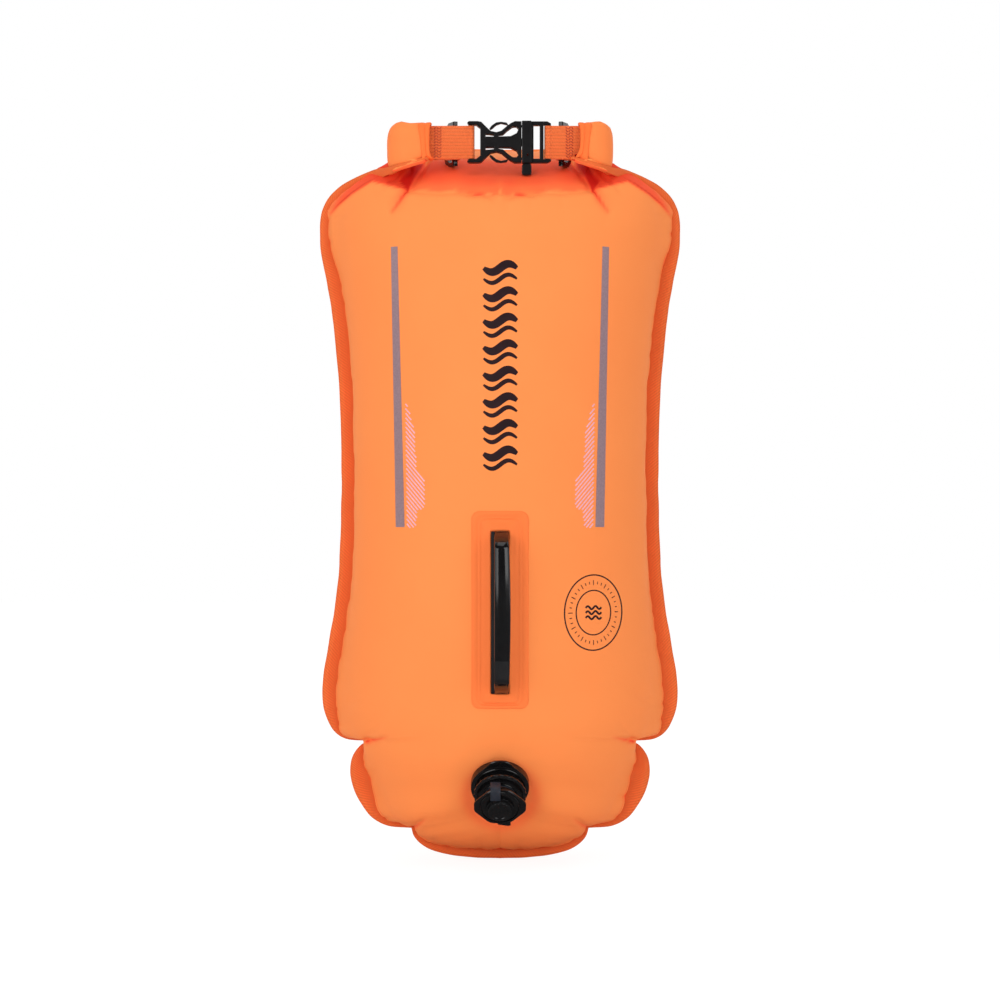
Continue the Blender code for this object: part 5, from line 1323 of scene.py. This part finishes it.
def tether_band(finishes):
    """The tether from its ring round the body to its collar on the cap."""
    line = stepped(TETHER_LINE, 0.8)
    rings = []
    for (out, up), normal in zip(line, plan_normals(line)):
        rings.append([
            on_valve(across + TETHER_MIDDLE, out + normal[0] * thick, up + normal[1] * thick)
            for across, thick in TETHER_SECTION
        ])
    return lofted("tether_band", rings, finishes["tether"], 50)


# Settings


def power(name, description, default):
    return FloatProperty(name=name, description=description, default=default, min=0.0, unit="POWER")


def thickness(name, description, default, least):
    return FloatProperty(name=name, description=description, default=default, min=least, unit="LENGTH")


def colour(name, description, *default):
    return FloatVectorProperty(
        name=name, description=description, default=default, subtype="COLOR", size=3, min=0.0, max=1.0
    )


class BuoySizes(bpy.types.PropertyGroup):
    """Sizes and lights that a user may change."""

    key_power: power("Key light", "Power of the main soft light", 18.5)
    fill_power: power("Fill light", "Power of the second soft light", 13.0)
    top_power: power("Top light", "Power of the light from above", 5.5)
    back_power: power("Back light", "Power of the light behind", 9.0)
    strip_thickness: thickness("Strip thickness", "Thickness of the reflective strips", 0.0002, 0.00005)
    print_thickness: thickness("Print thickness", "Thickness of the printed marks", 0.00008, 0.00002)


class BuoyColours(bpy.types.PropertyGroup):
    """Colours of the buoy's finishes."""

    fabric: colour("Fabric", "Coated fabric of the panels", 0.98, 0.285, 0.080)
    hem: colour("Hem", "Hems of the strap sleeves", 0.98, 0.190, 0.046)
    # Patch: its own deeper orange, made a little darker still as painted shade from the handle
    patch: colour("Patch", "Welded patch behind the handle", 0.98, 0.215, 0.056)
    roll: colour("Roll", "Fabric of the rolled mouth", 0.98, 0.262, 0.072)
    weld: colour("Weld", "Welded flange", 0.98, 0.180, 0.043)
    webbing: colour("Webbing", "Webbing strap", 0.96, 0.17, 0.030)
    plastic: colour("Plastic", "Moulded black parts", 0.0065, 0.0062, 0.0068)
    tether: colour("Tether", "Tether of the valve's cap", 0.018, 0.022, 0.032)
    strip: colour("Strips", "Reflective strips", 0.44, 0.29, 0.33)
    hatch: colour("Hatch", "Reflective print beside the strips", 0.98, 0.47, 0.56)
    ink: colour("Print", "Printed marks", 0.020, 0.005, 0.008)


class BuildStep(bpy.types.Operator):
    """Shared part of the operators that build a piece."""

    bl_options = {"REGISTER", "UNDO"}

    def execute(self, context):
        self.build(palette(), context.scene.buoy_sizes)
        return {"FINISHED"}


def paint_nodes(finish, *names):
    """Gives pieces of the frame that show as they are their finish."""
    for name in names:
        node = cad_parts[name]
        for slot in node.material_slots:
            slot.material = finish
        if not node.material_slots:
            node.data.materials.append(finish)


class BUOY_OT_bag(BuildStep):
    """Builds the front and back panel with their welded seam"""

    bl_idname = "buoy.bag"
    bl_label = "Inflated bag"

    def build(self, finishes, sizes):
        settle(bag_panel(-1, finishes), "bag", "coated_fabric", "front_panel")
        settle(bag_panel(1, finishes), "bag", "coated_fabric", "back_panel")
        paint_nodes(finishes["fabric"], "valve_backing_ring")


class BUOY_OT_roll(BuildStep):
    """Builds the rolled mouth, its sleeves and the stiffener inside"""

    bl_idname = "buoy.roll"
    bl_label = "Rolled mouth"

    def build(self, finishes, sizes):
        settle(roll_mesh(finishes), "bag", "coated_fabric", "rolled_collar")
        for side in (-1, 1):
            settle(sleeve_mesh(side, finishes), "bag", "coated_fabric")
        paint_nodes(finishes["clear"], "mouth_stiffener")


class BUOY_OT_straps(BuildStep):
    """Builds the webbing at both ends, its stitches and the keepers of the rings"""

    bl_idname = "buoy.straps"
    bl_label = "Webbing"

    def build(self, finishes, sizes):
        y = ROLL_FRONT + SEAM_Y
        ring_y = y + 9.4 * MM
        keeper_y = y + ROLL_THICKNESS / 2 + 1.5 * MM
        webbing = finishes["webbing"], STRAP_WIDTH, STRAP_THICKNESS * 0.96, STRAP_THICKNESS
        keeper = finishes["webbing"], 25 * MM, 1.15 * MM, 1.2 * MM
        for name, body, bar, tail in (("left", "buckle_socket", -22.6, -54.5), ("right", "bag", 37.1, 62.0)):
            piece = strap("strap_" + name, *webbing, bar, y, 1.7 * MM, tail, y, 9.0 * MM)
            settle(piece, body, "webbing", "webbing_" + name)
        for name, bar, tail in (("left", -35.0, -56.5), ("right", 47.5, 64.0)):
            piece = strap("keeper_" + name, *keeper, bar, ring_y, 2.9 * MM, tail, keeper_y, 7.6 * MM)
            settle(piece, "bag", "webbing", "ring_keeper_" + name)
        for name, body, start, way in (("left", "buckle_socket", -51.0, 1), ("right", "bag", 56.5, -1)):
            piece = scatter("stitches_" + name, strap_stitches(start, way), STITCH_SIZE, finishes["thread"])
            settle(piece, body, "webbing")


class BUOY_OT_buckle(BuildStep):
    """Finishes the whistle buckle and the rings"""

    bl_idname = "buoy.buckle"
    bl_label = "Buckle and rings"

    def build(self, finishes, sizes):
        arms = "buckle_arm_upper", "buckle_arm_lower"
        paint_nodes(finishes["plastic"], "buckle_female", "buckle_male", *arms, "whistle_mouthpiece")
        paint_nodes(finishes["gloss"], "ring_left", "ring_right")


class BUOY_OT_handle(BuildStep):
    """Builds the handle, its patch and the strip behind it"""

    bl_idname = "buoy.handle"
    bl_label = "Handle"

    def build(self, finishes, sizes):
        settle(patch_mesh(finishes), "bag", "coated_fabric", "handle_patch")
        settle(backing_mesh(finishes), "bag", "black_rubber", "handle_base_strip")
        settle(handle_mesh(finishes), "bag", "handle_plastic", "handle_strap")


class BUOY_OT_prints(BuildStep):
    """Builds the reflective strips and the printed marks"""

    bl_idname = "buoy.prints"
    bl_label = "Strips and prints"

    def build(self, finishes, sizes):
        thin = sizes.print_thickness, 0.1 * MM
        for side, name in ((-1, "left"), (1, "right")):
            thick = sizes.strip_thickness, 0.3 * MM
            strip = marks_on_front("strip_" + name, [strip_lines(side)], *thick, finishes["film"])
            settle(strip, "bag", "reflective_film", "reflective_strip_" + name)
            hatch = marks_on_front("hatch_" + name, hatch_lines(side), *thin, finishes["hatch"])
            settle(hatch, "bag", "reflective_film")
        marks = marks_on_front("printed_waves", wave_lines() + badge_lines(), *thin, finishes["ink"])
        settle(marks, "bag", "coated_fabric")
        ticks = scatter("badge_ticks", badge_ticks(), TICK_SIZE, finishes["ink"])
        settle(ticks, "bag", "coated_fabric")


class BUOY_OT_valve(BuildStep):
    """Builds the valve's base, body, cap and tether"""

    bl_idname = "buoy.valve"
    bl_label = "Inflation valve"

    def build(self, finishes, sizes):
        black = finishes["valve"]
        base = turned("valve_base_turned", BASE_SECTION, black)
        tab = extruded("valve_tab", TAB_OUTLINE, 0.4, 2.5, black)
        settle(join("valve_seat", [base, tab]), "bag", "valve_plastic", "valve_base")
        body = turned("valve_body_turned", BODY_SECTION, black, 144, ((16, 17), 0.35, 6))
        settle(body, "inflation_valve", "valve_plastic", "valve_body")
        paint_nodes(finishes["rubber"], "valve_gasket", "valve_flap")
        cap = turned("valve_cap_turned", CAP_SECTION, black, 144, ((4, 5, 6), 0.25, 6))
        wings = extruded("cap_wings", octagon(19.6, 16.4, 12.0), 21.6, 23.9, black, 0.6)
        lug = extruded("cap_lug", LUG_OUTLINE, 19.8, 21.5, black)
        settle(join("valve_cap_turned", [cap, wings, lug]), "inflation_cap", "valve_plastic", "valve_cap")
        ring = turned("tether_ring", TETHER_RING, finishes["tether"])
        collar = turned("tether_collar", TETHER_COLLAR, black)
        tether = join("tether", [ring, tether_band(finishes), collar])
        settle(tether, "inflation_valve", "black_rubber", "cap_tether")


def seen_rays(tree):
    """Whether a ray sees the surroundings themselves, and whether it is a reflection."""
    rays = add(tree, "ShaderNodeLightPath").outputs
    seen = maths(tree, "MAXIMUM", rays["Is Camera Ray"], rays["Is Glossy Ray"])
    return maths(tree, "MAXIMUM", seen, rays["Is Transmission Ray"]), rays["Is Glossy Ray"]


def mirrored_level(tree, glossy, place, plain, near, far):
    """Brightness of the surroundings, which in reflections falls from behind the bag to the camera's side."""
    away = add(tree, "ShaderNodeSeparateXYZ", {0: place}).outputs[1]
    return mix_values(tree, glossy, plain, ramp(tree, away, 0.0, 0.6, near, far))


class BUOY_OT_stage(BuildStep):
    """Adds the floor, backdrop, lights and camera"""

    bl_idname = "buoy.stage"
    bl_label = "Stage"

    def build(self, finishes, sizes):
        scene = bpy.context.scene
        material = bpy.data.materials.new("pale_floor")
        material.use_nodes = True
        tree = material.node_tree
        shader = tree.nodes["Principled BSDF"]
        shader.inputs["Base Color"].default_value = (0.93, 0.93, 0.93, 1.0)
        shader.inputs["Roughness"].default_value = 0.9
        seen, glossy = seen_rays(tree)
        level = mirrored_level(tree, glossy, object_place(tree), 1.13, 0.08, 1.13)
        glow = add(tree, "ShaderNodeEmission", {"Color": (1, 1, 1, 1), "Strength": level})
        share = maths(tree, "MULTIPLY", seen, maths(tree, "MULTIPLY_ADD", glossy, 0.14, 0.8))
        mix = add(tree, "ShaderNodeMixShader", {0: share, 1: shader.outputs[0], 2: glow.outputs[0]})
        tree.links.new(mix.outputs[0], tree.nodes["Material Output"].inputs["Surface"])
        mesh = bpy.data.meshes.new("floor")
        corners = [(x, y, -0.4 * MM) for x, y in ((-6, -5), (6, -5), (6, 5), (-6, 5))]
        mesh.from_pydata(corners, [], [(0, 1, 2, 3)])
        mesh.materials.append(material)
        placed("floor", mesh)

        world = scene.world = bpy.data.worlds.new("studio")
        world.use_nodes = True
        tree = world.node_tree
        seen, glossy = seen_rays(tree)
        plain = tree.nodes["Background"]
        plain.inputs["Color"].default_value = (1, 1, 1, 1)
        plain.inputs["Strength"].default_value = 0.62
        way = add(tree, "ShaderNodeTexCoord").outputs["Generated"]
        level = mirrored_level(tree, glossy, way, 1.0, 0.04, 1.0)
        white = add(tree, "ShaderNodeBackground", {"Color": (1, 1, 1, 1), "Strength": level})
        mix = add(tree, "ShaderNodeMixShader", {0: seen, 1: plain.outputs[0], 2: white.outputs[0]})
        tree.links.new(mix.outputs[0], tree.nodes["World Output"].inputs["Surface"])

        target = Vector((0.0, 0.0, 0.30))
        for name, place, size, energy in (
            ("key_light", (-1.35, -1.9, 0.80), 1.5, sizes.key_power),
            ("fill_light", (1.5, -1.8, 0.35), 1.4, sizes.fill_power),
            ("top_light", (0.1, -0.3, 1.9), 1.2, sizes.top_power),
            ("back_light", (0.5, 2.3, 1.0), 1.6, sizes.back_power),
        ):
            light = bpy.data.lights.new(name, "AREA")
            light.shape, light.size, light.energy = "SQUARE", size, energy
            lamp = placed(name, light)
            lamp.location = place
            lamp.rotation_euler = (target - Vector(place)).to_track_quat("-Z", "Y").to_euler()

        camera = bpy.data.cameras.new("camera")
        camera.sensor_width = 36.0
        camera.lens = 36.0 * CAMERA_DISTANCE / (PHOTO_SIDE * PIXEL)
        camera.shift_y = ((FRAME_FOOT - FRAME_MIDDLE) * PIXEL - CAMERA_Z) / (PHOTO_SIDE * PIXEL)
        camera.clip_end = 50.0
        scene.camera = placed("camera", camera)
        scene.camera.location = (0.0, SEAM_Y - CAMERA_DISTANCE, CAMERA_Z)
        scene.camera.rotation_euler = (math.radians(90), 0.0, 0.0)
        scene.view_settings.view_transform = "Standard"


STEPS = (
    BUOY_OT_stage, BUOY_OT_bag, BUOY_OT_roll, BUOY_OT_straps, BUOY_OT_buckle, BUOY_OT_handle, BUOY_OT_prints,
    BUOY_OT_valve,
)


class BUOY_PT_panel(bpy.types.Panel):
    """Lists the build steps, sizes and colours"""

    bl_idname = "BUOY_PT_panel"
    bl_label = "Swim Buoy"
    bl_space_type = "VIEW_3D"
    bl_region_type = "UI"
    bl_category = "Swim Buoy"

    def draw(self, context):
        for step in STEPS:
            self.layout.operator(step.bl_idname)
        for group in (context.scene.buoy_sizes, context.scene.buoy_colours):
            box = self.layout.box()
            for name in group.__annotations__:
                box.prop(group, name)


CLASSES = (BuoySizes, BuoyColours, *STEPS, BUOY_PT_panel)


def register():
    for item in CLASSES:
        bpy.utils.register_class(item)
    bpy.types.Scene.buoy_sizes = PointerProperty(type=BuoySizes)
    bpy.types.Scene.buoy_colours = PointerProperty(type=BuoyColours)


def unregister():
    del bpy.types.Scene.buoy_colours
    del bpy.types.Scene.buoy_sizes
    for item in reversed(CLASSES):
        bpy.utils.unregister_class(item)


def main():
    register()
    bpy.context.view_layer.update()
    for step in STEPS:
        group, name = step.bl_idname.split(".")
        getattr(getattr(bpy.ops, group), name)()


if __name__ == "__main__":
    main()
